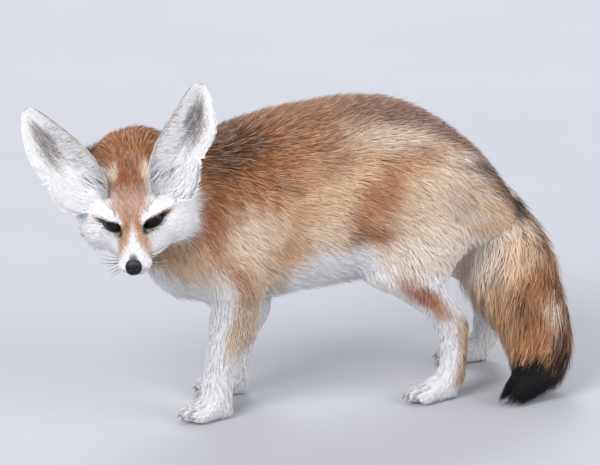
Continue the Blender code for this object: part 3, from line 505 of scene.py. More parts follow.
# Outside of the lying coat: lofts and swellings melted together on a grid and eased.
def flesh():
    grids = [tubeGrid(shape, 32) for shape in lofts.values()]
    for (x, y, z), radii in head["swellings"].values():
        grids += [ballGrid(fromHead((x, y * sign, z)), radii, headAxes) for sign in (-1, 1)]
    for which in legs["steps"]:
        heel, axes = pawPlace(which)
        rows = [(x, top, paws["sole"], half) for x, top, half in paws[which.split("_")[0]]]
        grids.append(tubeGrid(loftAcross(rows, skinMake["pawRoundness"], axes, heel), 16))
        grids += [ballGrid(heel + toe @ axes, paws["toeRadii"], axes, 12, 8) for toe in toePlaces(which)]
    points, faces = joinedTubes(grids)
    mesh = bpy.data.meshes.new("flesh")
    mesh.from_pydata(points.tolist(), [], faces.tolist())
    made = objectFrom("flesh", turnedOut(mesh))
    melt = made.modifiers.new("melt", "REMESH")
    melt.mode, melt.voxel_size = "VOXEL", skinMake["voxel"]
    ease = made.modifiers.new("ease", "SMOOTH")
    ease.iterations = skinMake["smoothing"]
    shown = made.evaluated_get(bpy.context.evaluated_depsgraph_get())
    melted = bpy.data.meshes.new_from_object(shown)
    bpy.data.objects.remove(made)
    count = len(melted.vertices)
    points, normals = np.zeros(count * 3), np.zeros(count * 3)
    melted.vertices.foreach_get("co", points)
    melted.vertices.foreach_get("normal", normals)
    corners = np.zeros(len(melted.loops), int)
    melted.loops.foreach_get("vertex_index", corners)
    points, normals = points.reshape(-1, 3), normals.reshape(-1, 3)
    points[:, 2] = np.maximum(points[:, 2], 0)
    return points, unit(normals), triangles(corners.reshape(-1, 4))


# Share along a loft, turn round it, and distance outside its surface, of each point.
def placeOn(shape, points):
    offset = points[:, None, :].astype(np.float32) - shape["centre"].astype(np.float32)
    ahead = np.einsum("mnk,nk->mn", offset, shape["run"].astype(np.float32))
    nearest = (ahead**2 + 0.05 * (offset**2).sum(2)).argmin(1)
    picked = offset[np.arange(len(points)), nearest]
    a = (picked * shape["side"][nearest]).sum(1) / shape["half"][nearest, 0]
    b = (picked * shape["rise"][nearest]).sum(1) / shape["half"][nearest, 1]
    outside = (np.hypot(a, b) - 1) * shape["half"][nearest].min(1)
    beyond = np.abs((picked * shape["run"][nearest]).sum(1))
    return nearest / (len(shape["centre"]) - 1), np.arctan2(b, a), np.hypot(np.maximum(outside, 0), beyond)


# How much each point belongs to each stretch: e to the minus of its distance over a blending length.
def stretchWeights(points):
    distance = np.stack([placeOn(shape, points)[2] for shape in lofts.values()], axis=1)
    local = toHead(points)
    for (x, y, z), radii in head["swellings"].values():
        folded = local * [1, 0, 1] + np.abs(local) * [0, 1, 0]
        ratio = np.linalg.norm((folded - (x, y, z)) / radii, axis=1)
        reach = np.maximum(ratio - 1, 0) * min(radii)
        distance[:, headColumn] = np.minimum(distance[:, headColumn], reach)
    weights = np.exp(-(distance - distance.min(1, keepdims=True)) / skinMake["meltBlend"])
    return weights / weights.sum(1, keepdims=True)


# How the coat lies, how long it is and what colour it has, stretch by stretch.

marks = [  # soft spots on both sides: x, z, half length, half height, turn in degrees, colour, strength
    (-0.090, 0.192, 0.055, 0.028, 8, "tawny", 0.80),
    # Partly painted shadow of the head and ear, partly dark brown fur: the shoulder's top behind the ear.
    (-0.094, 0.203, 0.038, 0.020, 8, "brown", 0.82),
    (-0.050, 0.188, 0.045, 0.018, 6, "tawny", 0.45),
    (-0.104, 0.135, 0.052, 0.012, -60, "rust", 0.75),
    (-0.081, 0.139, 0.026, 0.025, 0, "cream", 0.85),
    (-0.020, 0.160, 0.030, 0.018, 0, "sand", 0.50),
    (0.030, 0.204, 0.046, 0.013, -8, "cream", 0.62),
    (0.064, 0.155, 0.034, 0.036, 0, "cream", 0.50),
    (0.080, 0.154, 0.020, 0.018, 0, "mauve", 0.28),
    (-0.054, 0.128, 0.016, 0.011, 0, "tan", 0.50),
    (-0.022, 0.139, 0.024, 0.016, 0, "cream", 0.55),
    (0.012, 0.158, 0.041, 0.017, 60, "rust", 0.72),
    # Painted shadow in the fold where the thigh meets the flank.
    (-0.002, 0.134, 0.014, 0.007, 60, "brown", 0.65),
    # Painted shade along the knee, running on from that fold.
    (0.016, 0.133, 0.019, 0.006, -10, "tawny", 0.70),
    (0.046, 0.186, 0.030, 0.011, 16, "tan", 0.50),
    # Painted shade in two partings of the coat on the shoulder, over their darker roots.
    (-0.057, 0.184, 0.010, 0.0022, 84, "umber", 0.60),
    (-0.050, 0.173, 0.008, 0.0018, -8, "umber", 0.55),
    (0.048, 0.084, 0.025, 0.0105, -37, "rust", 0.90),
    (0.066, 0.068, 0.014, 0.008, -42, "tan", 0.70),
    (0.122, 0.158, 0.016, 0.006, -50, "brown", 0.85),
    (0.104, 0.176, 0.014, 0.008, -45, "brown", 0.60),
]


# The small black spot over the tail's root.
def rumpSpot(place):
    return smooth(1.3, 0.6, np.hypot((place[:, 0] - 0.136) / 0.0070, (place[:, 2] - 0.135) / 0.0075))


# Marks painted over a base colour: each an ellipse turned in side view, with a wavy edge.
def addMarks(base, points):
    for x, z, halfLength, halfHeight, turn, name, strength in marks:
        c, s = math.cos(math.radians(turn)), math.sin(math.radians(turn))
        dx, dz = points[:, 0] - x, points[:, 2] - z
        along, across = dx * c + dz * s, dz * c - dx * s
        reach = np.hypot(along / halfLength, across / halfHeight) + 0.16 * waves(points, 0.018, 31)
        base = paint(base, (name, strength * smooth(1.25, 0.35, reach)))
    return base


# One stretch's coat: every value as an array over the points.
def coatOf(points, lie, tone, **values):
    found = {"lie": np.broadcast_to(lie, points.shape), "tone": tone}
    for key, value in values.items():
        found[key] = np.ones(len(points)) * value
    return found


# Trunk: height is the share from belly line to back line, and the coat slopes down with it.
def trunkCoat(points, normals):
    x, _, z = points.T
    rows = np.array(trunk["rows"])
    top, bottom = np.interp(x, rows[:, 0], rows[:, 1]), np.interp(x, rows[:, 0], rows[:, 2])
    height = (z - bottom) / (top - bottom)
    down = 0.10 + 0.34 * smooth(1.0, 0.55, height) + 0.75 * smooth(0.055, 0.125, x)
    down = (down + 0.7 * smooth(-0.105, -0.145, x)) * smooth(-0.05, 0.18, height)
    lie = np.column_stack([np.ones(len(x)), 0 * x, -down])
    paunch = 0.10 * smooth(0.06, 0.0, np.abs(x + 0.01))  # the belly's white climbs higher near the middle
    belly = smooth(0.27, 0.10, height + 0.04 * waves(points, 0.03, 3) - paunch)
    ridge = smooth(0.66, 0.93, height + 0.05 * waves(points, 0.03, 4))
    backTone = paint(plain("tawny", x), ("mauve", smooth(-0.02, 0.05, x)))
    tone = paint(
        plain("sand", x),
        ("tan", 0.55 * smooth(-0.01, -0.06, x) * smooth(0.2, 0.5, height)),
        (backTone, 0.76 * ridge),
        ("brown", 0.32 * ridge * smooth(0.03, -0.03, x)),
        ("sand", 0.6 * smooth(0.55, 0.34, height)),
        ("cream", 0.4 * smooth(0.36, 0.20, height)))
    tone = paint(
        addMarks(tone, points),
        ("mauve", 0.8 * smooth(0.88, 0.97, height) * smooth(-0.03, 0.03, x)),
        ("brown", 0.92 * smooth(0.58, 0.86, height) * smooth(0.085, 0.114, x)),  # back edge of the rump
        ("white", belly),
        ("black", 0.95 * rumpSpot(points)))
    return coatOf(
        points, lie, tone, length=0.0140 + 0.0105 * smooth(0.45, 0.15, height), depth=0.009 + 0.002 * belly,
        width=0.00072, stand=0.0004, dark=(0.10 + 0.10 * ridge) * (1 - belly),
        light=0.12 + 0.18 * ridge + 0.10 * smooth(-0.02, -0.08, x) * smooth(0.4, 0.7, height),
        dense=1 - 0.45 * smooth(-0.3, -0.8, normals[:, 2]))


# Neck: back along its sides, and down where it faces forward.
def neckCoat(points, normals):
    x, _, z = points.T
    front = smooth(-0.2, 0.6, -normals[:, 0])
    down = -0.35 - 0.8 * front - 0.25 * np.abs(normals[:, 1])
    lie = np.column_stack([1 - 0.7 * front, 0.15 * np.ones(len(x)), down])
    tone = paint(plain("tawny", x), ("brown", 0.6 * smooth(0.18, 0.205, z)))
    tone = paint(
        addMarks(tone, points),
        ("sand", 0.75 * smooth(0.155, 0.125, z)),
        ("cream", 0.8 * smooth(0.128, 0.105, z)))
    return coatOf(points, lie, tone, length=0.017, depth=0.010, width=0.00075, stand=0.0006,
                  light=0.25 * smooth(0.15, 0.19, z) + 0.12, dark=0.15, dense=1.0)


# Head: swept back, spread sideways on the cheeks, with a ruff behind them and a tuft at each temple.
def headCoat(points, normals):
    x, y, z = toHead(points).T
    side, sign = np.abs(y), np.sign(y)
    above, below = smooth(-0.004, 0.014, z), smooth(0.002, -0.018, z)
    cheek = smooth(0.004, 0.020, side) * smooth(0.012, -0.010, x)
    wide = smooth(0.002, -0.014, x) * smooth(0.018, 0.026, side) * smooth(0.022, 0.004, z)
    outward = 0.55 * cheek + 0.25 * above * smooth(0.004, 0.018, side) + 0.5 * wide
    upward = 0.45 * above - 0.45 * below * cheek - 0.12 * below
    lie = np.column_stack([-1 + 0.25 * cheek + 0.35 * wide, sign * outward, upward]) @ headAxes
    muzzle = smooth(0.000, 0.022, x)
    ruff = smooth(0.002, -0.020, x) * smooth(0.012, 0.026, side) * smooth(0.020, 0.000, z)
    crown = smooth(0.010, 0.024, z) * smooth(-0.004, -0.03, x)
    temple = smooth(0.004, -0.010, x) * smooth(0.016, 0.024, side)
    temple = temple * smooth(-0.006, 0.004, z) * smooth(-0.05, -0.03, x)
    left = sign > 0  # its own left, where the ruff is shorter
    length = 0.0062 - 0.0038 * muzzle + 0.0125 * ruff * np.where(left, 0.52, 1.05) + 0.0030 * crown
    length = length + 0.004 * smooth(-0.04, -0.06, x) + 0.0085 * temple
    depth = 0.0020 - 0.0011 * muzzle + 0.0040 * ruff + 0.0020 * crown + 0.003 * smooth(-0.04, -0.065, x)
    width = 0.00048 - 0.00014 * muzzle + 0.00014 * ruff + 0.00004 * crown
    ruffStand = np.where(left, 0.8, 0.8 + 0.55 * smooth(-0.024, -0.008, z)) * smooth(-0.004, -0.022, x)
    stand = 0.0002 + 0.0062 * ruff * ruffStand + 0.0045 * temple * smooth(-0.008, -0.020, x)
    wobble = 0.0016 * waves(points, 0.012, 12)
    stripeAt = [-0.060, -0.045, -0.030, -0.018, -0.010, -0.001, 0.0095, 0.016]
    reach = np.interp(x, stripeAt, [0.034, 0.024, 0.014, 0.0125, 0.0140, 0.0105, 0.0040, 0.0020])
    stripe = smooth(1.45, 0.60, (side + wobble) / reach) * smooth(-0.012, 0.000, z)
    nape = smooth(-0.034, -0.050, x) * smooth(-0.012, 0.008, z)
    earSpot = np.hypot((side - 0.0122) / 0.0038, (x + 0.029) / 0.0095)
    streak = np.hypot((side - 0.0062 - 0.26 * (x - 0.012)) / 0.0059, (x - 0.0140) / 0.0130)
    outer = np.hypot((side - 0.0235) / 0.0055, (z - 0.0012 - 0.15 * (side - 0.0225)) / 0.0018)
    noseTopSheen = smooth(0.0050, 0.0020, side + 0.35 * (0.034 - x)) * smooth(0.0265, 0.0340, x)
    ahead, ellipse, _, corner = eyeView(points)
    tone = paint(
        plain("white", x),
        ("pink", 0.95 * stripe * smooth(0.013, 0.002, x)),  # down the brow and nose
        (colour("rust") * 0.85, 0.95 * stripe * smooth(-0.006, -0.021, x + wobble)),
        ("brown", 0.35 * stripe * smooth(-0.018, -0.03, x) * smooth(0.008, 0.002, side + wobble)),
        ("tawny", 0.9 * nape),
        ("brown", 0.35 * nape * smooth(0.02, 0.035, side)),
        ("cream", 0.95 * smooth(1.5, 0.4, earSpot) * above),
        ("tan", 0.85 * smooth(1.30, 0.4, streak) * smooth(-0.022, -0.016, z)),  # beside the nose's bridge
        ("tawny", 0.60 * smooth(1.2, 0.4, streak) * smooth(0.014, 0.006, x)),
        ("tan", 0.8 * smooth(1.3, 0.4, outer) * smooth(-0.022, -0.008, x)),  # behind the outer corner
        # Painted sheen: the top of the snout just behind the nose pad is slate, like the pad's upper face.
        ("slate", 0.90 * noseTopSheen * smooth(-0.016, -0.011, z)),
        ("tawny", 0.92 * left * smooth(-0.029, -0.037, x + wobble) * smooth(0.018, 0.004, z)),
        ("lid", 0.9 * smooth(1.26 + 0.26 * corner, 1.12 + 0.16 * corner, ellipse) * ahead))
    return coatOf(points, lie, tone, length=length, depth=depth, width=width, stand=stand,
                  light=0.22 * crown + 0.12, dark=0.05 + 0.1 * nape, dense=1.9)


# Legs: down the leg, and forward over the toes. Depth share runs from the front edge to the back edge.
def legCoat(which):
    front = which.startswith("front")
    sign = -1 if which.endswith("left") else 1
    heel, axes = pawPlace(which)
    table = legRows(which)[::-1]
    backStep = legs["steps"][which][0]

    def found(points, normals):
        x, y, z = points.T
        ahead, behind = (np.interp(z, table[:, 0], table[:, k]) for k in (1, 2))
        depthShare = (x - ahead) / (behind - ahead)
        outer = smooth(-0.2, 0.5, normals[:, 1] * sign)
        facing = smooth(-0.75, -0.15, normals[:, 1] * sign)
        forward = (points - heel) @ axes[0]
        toes = smooth(0.024, 0.014, z) * smooth(0.002, 0.010, forward)
        upper = smooth(0.095, 0.120, z) if front else smooth(0.085, 0.115, z)
        lie = np.column_stack([0.12 + 0.35 * upper, 0 * x, -np.ones(len(x))])
        lie = mix(lie, axes[0] - np.array([0, 0, 0.45]), toes)
        if front:
            patch = smooth(0.18, 0.42, depthShare + 0.06 * waves(points, 0.02, 5)) * smooth(0.034, 0.062, z)
            layers = [
                (colour("sand") * 0.86, 0.85 * facing * patch),
                ("sand", 0.8 * smooth(0.095, 0.125, z))]
        else:
            rear = smooth(0.36, 0.62, depthShare + 0.06 * waves(points, 0.012, 6)) * smooth(0.075, 0.055, z)
            edge = smooth(0.68, 0.92, depthShare + 0.10 * waves(points, 0.010, 6)) * smooth(0.060, 0.048, z)
            hock = np.hypot(x - 0.0885 - backStep, z - 0.0585)
            layers = [
                ("cream", 0.75 * smooth(0.088, 0.110, z) * (0.4 + 0.6 * outer)),
                (colour("sand") * 0.82, 0.80 * rear * smooth(0.004, 0.014, z)),
                ("tan", 0.85 * edge * smooth(0.006, 0.016, z)),
                ("umber", 0.8 * smooth(0.006, 0.002, hock))]
        tone = paint(plain("white", x), *layers)
        tone = addMarks(tone, np.column_stack([x - backStep * 0.5, y, z]))
        beside = np.abs((points - heel) @ axes[1])
        # Painted shade: slate in the gaps between the toes, at the front of each paw.
        gap = np.exp(-((np.minimum(beside, np.abs(beside - 0.0067)) / 0.0012) ** 2))  # between the toes
        tone = paint(
            tone,
            ("white", 0.8 * (1 - outer) * smooth(0.125, 0.100, z)),
            ("slate", 0.62 * gap * smooth(0.020, 0.026, forward) * smooth(0.018, 0.010, z)))
        fringe = 0.003 * smooth(0.7, 1.0, depthShare) * smooth(0.03, 0.05, z)
        return coatOf(
            points, lie, tone, length=0.0066 + 0.0100 * upper + fringe - 0.0026 * toes,
            depth=0.0018 + 0.0055 * upper - 0.0004 * toes, width=0.00054 + 0.00020 * upper, stand=0.0002,
            light=0.15, dark=0.04, dense=1.35 * smooth(-0.75, -0.35, normals[:, 2]) + 0.02)

    return found


# Tail: only the skin's colour, because its brush grows separately.
def tailCoat(points, normals):
    down = unit(tailAt(np.array([0.5]))[0, :3] - tailAt(np.array([0.2]))[0, :3])
    tone = paint(plain("tan", points), ("black", smooth(0.042, 0.028, points[:, 2])))
    return coatOf(points, down, tone, length=0.02, depth=0.0004, width=0.0009, stand=0.0,
                  light=0.2, dark=0.2, dense=0.0)


# Eyes' place, needed by the coat.

# Middle of an eye, and the ways it looks, widens and rises.
def eyeFrame(sign):
    x, y, z = eyes["place"]
    outward, slant = eyes["outward"], eyes["slant"]
    looks = np.array([math.cos(outward), math.sin(outward) * sign, 0])
    level = np.array([-math.sin(outward) * sign, math.cos(outward), 0]) * sign
    wide = level * math.cos(slant) + np.array([0, 0, math.sin(slant)])
    high = np.cross(looks, wide) * sign
    return fromHead((x, y * sign, z)), looks @ headAxes, wide @ headAxes, high @ headAxes


# Points seen along an eye's gaze: across, up and ahead of its middle, and how many openings away.
def eyeOffsets(points, sign):
    middle, looks, wide, high = eyeFrame(sign)
    offset = points - middle
    a, b, c = offset @ wide, offset @ high, offset @ looks
    return a, b, c, np.hypot(a / (eyes["opening"][0] / 2), b / (eyes["opening"][1] / 2))


# Of the nearer eye: whether points are in front of it, how many openings wide they are from its middle,
# the way that leads away from it, and how near they are to its corners.
def eyeView(points):
    local = toHead(points)
    ellipse, ahead, away = np.full(len(points), 9.0), np.zeros(len(points)), np.zeros_like(points)
    corner = np.zeros(len(points))
    for sign in (-1, 1):
        _, _, wide, high = eyeFrame(sign)
        a, b, c, seen = eyeOffsets(points, sign)
        own = local[:, 1] * sign > 0
        corner = np.where(own, (a / (eyes["opening"][0] / 2) / np.maximum(seen, 1e-6)) ** 10, corner)
        ellipse = np.where(own, seen, ellipse)
        ahead = np.where(own, smooth(0.0, 0.002, c), ahead)
        away[own] = (a[:, None] * wide + b[:, None] * high)[own]
    return ahead, ellipse, unit(away), corner


# The coat over the skin.

# The stretches' coats mixed by how much each point belongs to each. Hair near an eye turns away from it
# and is shorter, and the nose pad stays bare.
def wholeCoat(points, normals, weights):
    makers = {"trunk": trunkCoat, "neck": neckCoat, "head": headCoat, "tail": tailCoat}
    makers.update({which: legCoat(which) for which in legs["steps"]})
    found = [makers[name](points, normals) for name in lofts]
    coat = {}
    crisp = weights**3 / (weights**3).sum(1, keepdims=True)
    for key in found[0]:
        share = crisp if key == "tone" else weights
        wide = found[0][key].ndim == 2
        parts = [one[key] * (share[:, [k]] if wide else share[:, k]) for k, one in enumerate(found)]
        coat[key] = np.sum(parts, axis=0)
    swirl = np.column_stack([waves(points, 0.035, seed) for seed in (21, 22, 23)])
    lie = unit(coat["lie"]) + 0.16 * swirl
    ahead, ellipse, away, _ = eyeView(points)
    near = smooth(2.4, 1.4, ellipse) * ahead * weights[:, headColumn]
    lie = mix(lie, away, 0.85 * near)
    coat["lie"] = unit(lie - normals * (lie * normals).sum(1, keepdims=True))
    coat["length"] = coat["length"] * (1 - 0.62 * near)
    coat["depth"] = coat["depth"] * (1 - near) + 0.0006 * near
    coat["dense"] = coat["dense"] * (1 - smooth(1.22, 1.12, ellipse) * ahead) * (1 + 0.6 * near)
    forward, _, height = toHead(points).T
    coat["dense"] = coat["dense"] * (1 - smooth(0.0335, 0.0350, forward) * smooth(-0.0225, -0.0200, height))
    return coat


# The surface as a soft field: on a grid, blurred sums of its points' normals and planes.
def surfaceField(points, normals, cell=0.003):
    low = points.min(0) - 6 * cell
    shape = np.ceil((points.max(0) - low) / cell).astype(int) + 7
    index = np.ravel_multi_index(tuple(np.rint((points - low) / cell).astype(int).T), shape)
    values = np.column_stack([normals, (normals * points).sum(1), np.ones(len(points))])
    sums = [np.bincount(index, value, shape.prod()).reshape(shape) for value in values.T]
    sums = np.stack(sums, axis=-1)
    for axis in (0, 1, 2) * 3:
        sums = (np.roll(sums, 1, axis) + 2 * sums + np.roll(sums, -1, axis)) / 4
    return {"low": low, "cell": cell, "sums": sums}


# Height over the surface and its normal, read between the grid's corners.
def readField(field, points):
    place = (points - field["low"]) / field["cell"]
    place = np.clip(place, 0, np.array(field["sums"].shape[:3]) - 1.001)
    corner = place.astype(int)
    part = place - corner
    total = 0
    for offset in np.ndindex(2, 2, 2):
        share = np.prod(np.where(offset, part, 1 - part), axis=1)
        i, j, k = (corner + offset).T
        total = total + field["sums"][i, j, k] * share[:, None]
    weight = np.maximum(total[:, 4], 1e-9)
    return ((total[:, :3] * points).sum(1) - total[:, 3]) / weight, unit(total[:, :3]), total[:, 4] > 1e-4


# Points along the surface from each root, following its lie, and the normals there.
def pathsOver(field, roots, normals, lie, length, steps):
    start, _, _ = readField(field, roots)
    here, facing, heading = roots, normals, lie
    places, out = [here], [facing]
    for _ in range(steps):
        ahead = here + heading * (length / steps)[:, None]
        height, found, known = readField(field, ahead)
        facing = np.where(known[:, None], unit(mix(facing, found, 0.7)), facing)
        here = ahead - facing * np.where(known, np.clip(height - start, -0.006, 0.006), 0)[:, None]
        heading = unit(heading - facing * (heading * facing).sum(1, keepdims=True))
        places.append(here)
        out.append(facing)
    return np.stack(places, axis=1), np.stack(out, axis=1)


# Tips drawn together in clumps: towards the mean of those that grow in the same small cell.
def gathered(path, out, cell, pull, seed):
    warp = np.column_stack([waves(path[:, 0], cell * 4, seed + k) for k in range(3)]) * cell * 0.6
    keys = np.floor((path[:, 0] + warp) / cell).astype(int)
    _, group = np.unique(keys, axis=0, return_inverse=True)
    group = group.ravel()
    count = np.bincount(group)
    shares = np.linspace(0, 1, path.shape[1])
    for k, share in enumerate(shares):
        mean = np.stack([np.bincount(group, path[:, k, axis]) / count for axis in range(3)], axis=1)[group]
        gap = mean - path[:, k]
        gap -= out[:, k] * (gap * out[:, k]).sum(1, keepdims=True)
        path[:, k] += gap * (pull * share)[:, None]
    return path, group


# Closed pointed tufts: at each step of a path a triangle, flat below and ridged above, then one tip.
# The normals lean from the tuft's sides towards the way out of the skin, so a coat shades softly.
def tuftMesh(name, path, out, width, tones, bake, chance, ridged=0.6):
    count, steps = path.shape[0], path.shape[1] - 1
    run = unit(np.gradient(path, axis=1))
    side = unit(np.cross(run, out))
    rise = np.cross(side, run)
    shares = np.linspace(0, 1, steps + 1)[:-1]
    profile = np.interp(shares, [0, 0.35, 1], [0.75, 1.0, 0.0])
    half = (width[:, None] / 2 * profile)[..., None]
    twist = chance.normal(0, 0.35, (count, 1, 1))
    side, rise = side * np.cos(twist) + rise * np.sin(twist), rise * np.cos(twist) - side * np.sin(twist)
    low, across = path[:, :-1], side[:, :-1] * half
    ring = np.stack([low - across, low + across, low + rise[:, :-1] * half * 0.9], axis=2)
    points = np.concatenate([ring.reshape(count, -1, 3), path[:, -1:]], axis=1)
    tilt = side[:, :-1] * ridged
    soft = np.stack([out[:, :-1] * 0.8 - tilt, out[:, :-1] * 0.8 + tilt, out[:, :-1] + 0 * tilt], axis=2)
    normals = np.concatenate([soft.reshape(count, -1, 3), unit(out[:, -1:] + run[:, -1:] * 0.3)], axis=1)
    each = 3 * steps + 1
    local = [(0, 2, 1)]
    for k in range(steps - 1):
        a = 3 * k
        for i, j in ((0, 1), (1, 2), (2, 0)):
            local += [(a + i, a + j, a + j + 3), (a + i, a + j + 3, a + i + 3)]
    a = 3 * (steps - 1)
    local += [(a + i, a + j, 3 * steps) for i, j in ((0, 1), (1, 2), (2, 0))]
    faces = (np.arange(count)[:, None, None] * each + np.array(local)[:, ::-1]).reshape(-1, 3)
    along = np.append(np.repeat(shares, 3), 1.0)
    ends = ([0, 1, 0], [0, 0, 1])  # shares of the middle and tip colours at root, middle and tip
    toMiddle, toTip = (np.interp(along, [0, 0.45, 1], values)[None, :, None] for values in ends)
    root, middle, tip = (tone[:, None, :] for tone in tones)
    colours = root + (middle - root) * toMiddle + (tip - root) * toTip
    patch = 0.003  # a tuft's size on the bake map
    sideways = np.append(np.tile([-0.5, 0.5, 0.0], steps), 0.0) * patch
    places = np.stack([bake[:, :1] + sideways, bake[:, 1:] + (along - 0.5) * patch], axis=2)
    points, colours, normals = (each.reshape(-1, 3) for each in (points, colours, normals))
    return meshFrom(name, points, faces, colours, np.clip(places.reshape(-1, 2), 0, 1), unit(normals))


# Root, middle and tip colours: a darker root, some pale and some dark tips, each tuft a little its own.
def tuftTones(tone, light, dark, group, chance):
    count = len(tone)
    brightness = tone.mean(1, keepdims=True)
    calm = 1 - 0.7 * smooth(0.25, 0.75, brightness)
    clump = np.random.default_rng(77).normal(0, 0.08, group.max() + 1)[group][:, None]
    middle = tone * (1 + calm * (clump + chance.normal(0, 0.10, (count, 1))))
    pale = chance.random(count) < light
    smoky = chance.random(count) < dark
    tip = np.where(pale[:, None], mix(middle, colour("cream"), 0.6), middle * 1.08)
    tip = np.where(smoky[:, None], middle * 0.45, tip)
    root = middle * (0.52 + 0.40 * smooth(0.25, 0.65, brightness))
    return [np.clip(each, 0.003, 0.86) for each in (root, middle, tip)]


coatPieces = [  # name, stretches, side (-1 left, 1 right, 0 both), from x, to x, tufts
    ("coat_shoulder_left", ("trunk",), -1, -0.3, -0.020, 14000),
    ("coat_shoulder_right", ("trunk",), 1, -0.3, -0.020, 8500),
    ("coat_flank_left", ("trunk",), -1, -0.020, 0.3, 16500),
    ("coat_flank_right", ("trunk",), 1, -0.020, 0.3, 9500),
    ("coat_neck", ("neck",), 0, -0.3, 0.3, 10000),
    ("coat_head_left", ("head",), 1, -0.3, 0.3, 15800),
    ("coat_head_right", ("head",), -1, -0.3, 0.3, 15800),
    ("coat_front_legs", ("front_left", "front_right"), 0, -0.3, 0.3, 12000),
    ("coat_hind_legs", ("hind_left", "hind_right"), 0, -0.3, 0.3, 13000),
]


# A tuft's place on the bake map: along its stretch and round it, each stretch in its own band.
def bakeMap(names, labels, points):
    made = np.zeros((len(points), 2))
    for band, name in enumerate(names):
        own = labels == stretches.index(name)
        along, turn, _ = placeOn(lofts[name], points[own])
        row = (band + 0.03 + 0.94 * (turn / (2 * np.pi) + 0.5)) / len(names)
        made[own] = np.column_stack([0.02 + 0.96 * along, row])
    return made


growth = {  # by stretch: field cell, scatter of the lie, clump size, largest pull, ridge of the shading
    "trunk": {"cell": 0.003, "scatter": 0.22, "clump": 0.0040, "pull": 0.42, "ridged": 0.6},
    "neck": {"cell": 0.003, "scatter": 0.22, "clump": 0.0040, "pull": 0.42, "ridged": 0.3},
    "head": {"cell": 0.002, "scatter": 0.12, "clump": 0.0026, "pull": 0.34, "ridged": 0.3},
    "legs": {"cell": 0.003, "scatter": 0.22, "clump": 0.0030, "pull": 0.22, "ridged": 0.3},
    "sunk": 0.0004,  # how far roots and floor tufts keep from the skin and the floor
}


# The coat's pieces: roots scattered by area and density, each tuft led over the surface, clumped and raised.
def growCoat(points, normals, faces, coat, weights):
    labels = weights.argmax(1)
    sideways = np.where(labels == headColumn, toHead(points)[:, 1], points[:, 1])
    corners = points[faces]
    area = np.linalg.norm(np.cross(corners[:, 1] - corners[:, 0], corners[:, 2] - corners[:, 0]), axis=1)
    area = area * coat["dense"][faces].mean(1)
    faceLabel = labels[faces[:, 0]]
    sockets = {"Specular_IOR_Level": 0.18, "Sheen_Weight": 0.05, "Sheen_Roughness": 0.5}
    material = paintedMaterial("fur", 420, 0.10, (0.62, 0.86), **sockets)
    for k, (name, names, side, fromX, toX, count) in enumerate(coatPieces):
        make = growth["legs" if "legs" in name else names[0]]
        columns = [stretches.index(one) for one in names]
        chance = np.random.default_rng(100 + k)
        own = np.isin(faceLabel, columns)
        middle, across = corners[:, :, 0].mean(1), sideways[faces].mean(1)
        own &= (middle >= fromX) & (middle < toX) & ((across * side > 0) | (side == 0))
        chosen = chance.choice(len(faces), count, p=np.where(own, area, 0) / area[own].sum())
        u, v = chance.random((2, count))
        u, v = np.where(u + v > 1, 1 - u, u), np.where(u + v > 1, 1 - v, v)
        share = np.column_stack([1 - u - v, u, v])
        under = faces[chosen]
        picked = {key: np.einsum("mk,mk...->m...", share, value[under]) for key, value in coat.items()}
        roots = np.einsum("mk,mkj->mj", share, corners[chosen])
        facing = unit(np.einsum("mk,mkj->mj", share, normals[under]))
        near = np.isin(labels, columns) | (weights[:, columns].sum(1) > 0.02)
        field = surfaceField(points[near], normals[near], make["cell"])
        lie = unit(picked["lie"] + chance.normal(0, make["scatter"], (count, 3)))
        lie = unit(lie - facing * (lie * facing).sum(1, keepdims=True))
        length = picked["length"] * chance.uniform(0.75, 1.2, count)
        path, out = pathsOver(field, roots, facing, lie, length, 2)
        path, group = gathered(path, out, make["clump"], chance.uniform(0.05, make["pull"], count), 40 + k)
        rise = np.sin(np.linspace(0, 1, 3) * np.pi / 2)
        lift = picked["stand"] + picked["depth"] * chance.normal(-0.04, 0.13, count)
        height = -picked["depth"][:, None] * (1 - rise) + lift[:, None] * rise
        height[:, 0] -= growth["sunk"]
        path = path + out * height[..., None]
        path[..., 2] = np.maximum(path[..., 2], growth["sunk"])
        if "head" in names:  # ruffs shade as if they faced a little more forward, so they stay pale
            local = toHead(roots)
            ruffed = smooth(0.0, -0.015, local[:, 0]) * smooth(0.012, -0.004, local[:, 2])
            frontal = smooth(-0.10, 0.15, facing @ headAxes[0])
            out = unit(out + headAxes[0] * (0.45 * ruffed * frontal)[:, None, None])
        tones = tuftTones(picked["shown"], picked["light"], picked["dark"], group, chance)
        bake = bakeMap(names, faceLabel[chosen], roots)
        width = picked["width"] * chance.uniform(0.75, 1.25, count)
        mesh = tuftMesh(name, path, out, width, tones, bake, chance, make["ridged"])
        piece(name, mesh, material)
        print(name, len(mesh.polygons), "triangles")
    return material


# Skin in front of an eye drawn back behind the eyeball, so that the lids' own piece shows.
def tuckEyes(points):
    for sign in (-1, 1):
        looks = eyeFrame(sign)[1]
        a, b, c, seen = eyeOffsets(points, sign)
        behind = np.sqrt(np.maximum(eyes["radius"] ** 2 - a * a - b * b, 0.004**2)) - 0.0016
        tucked = (seen < 1.12) & (c > 0)
        points[tucked] += (np.minimum(behind - c, 0)[:, None] * looks)[tucked]
    return points


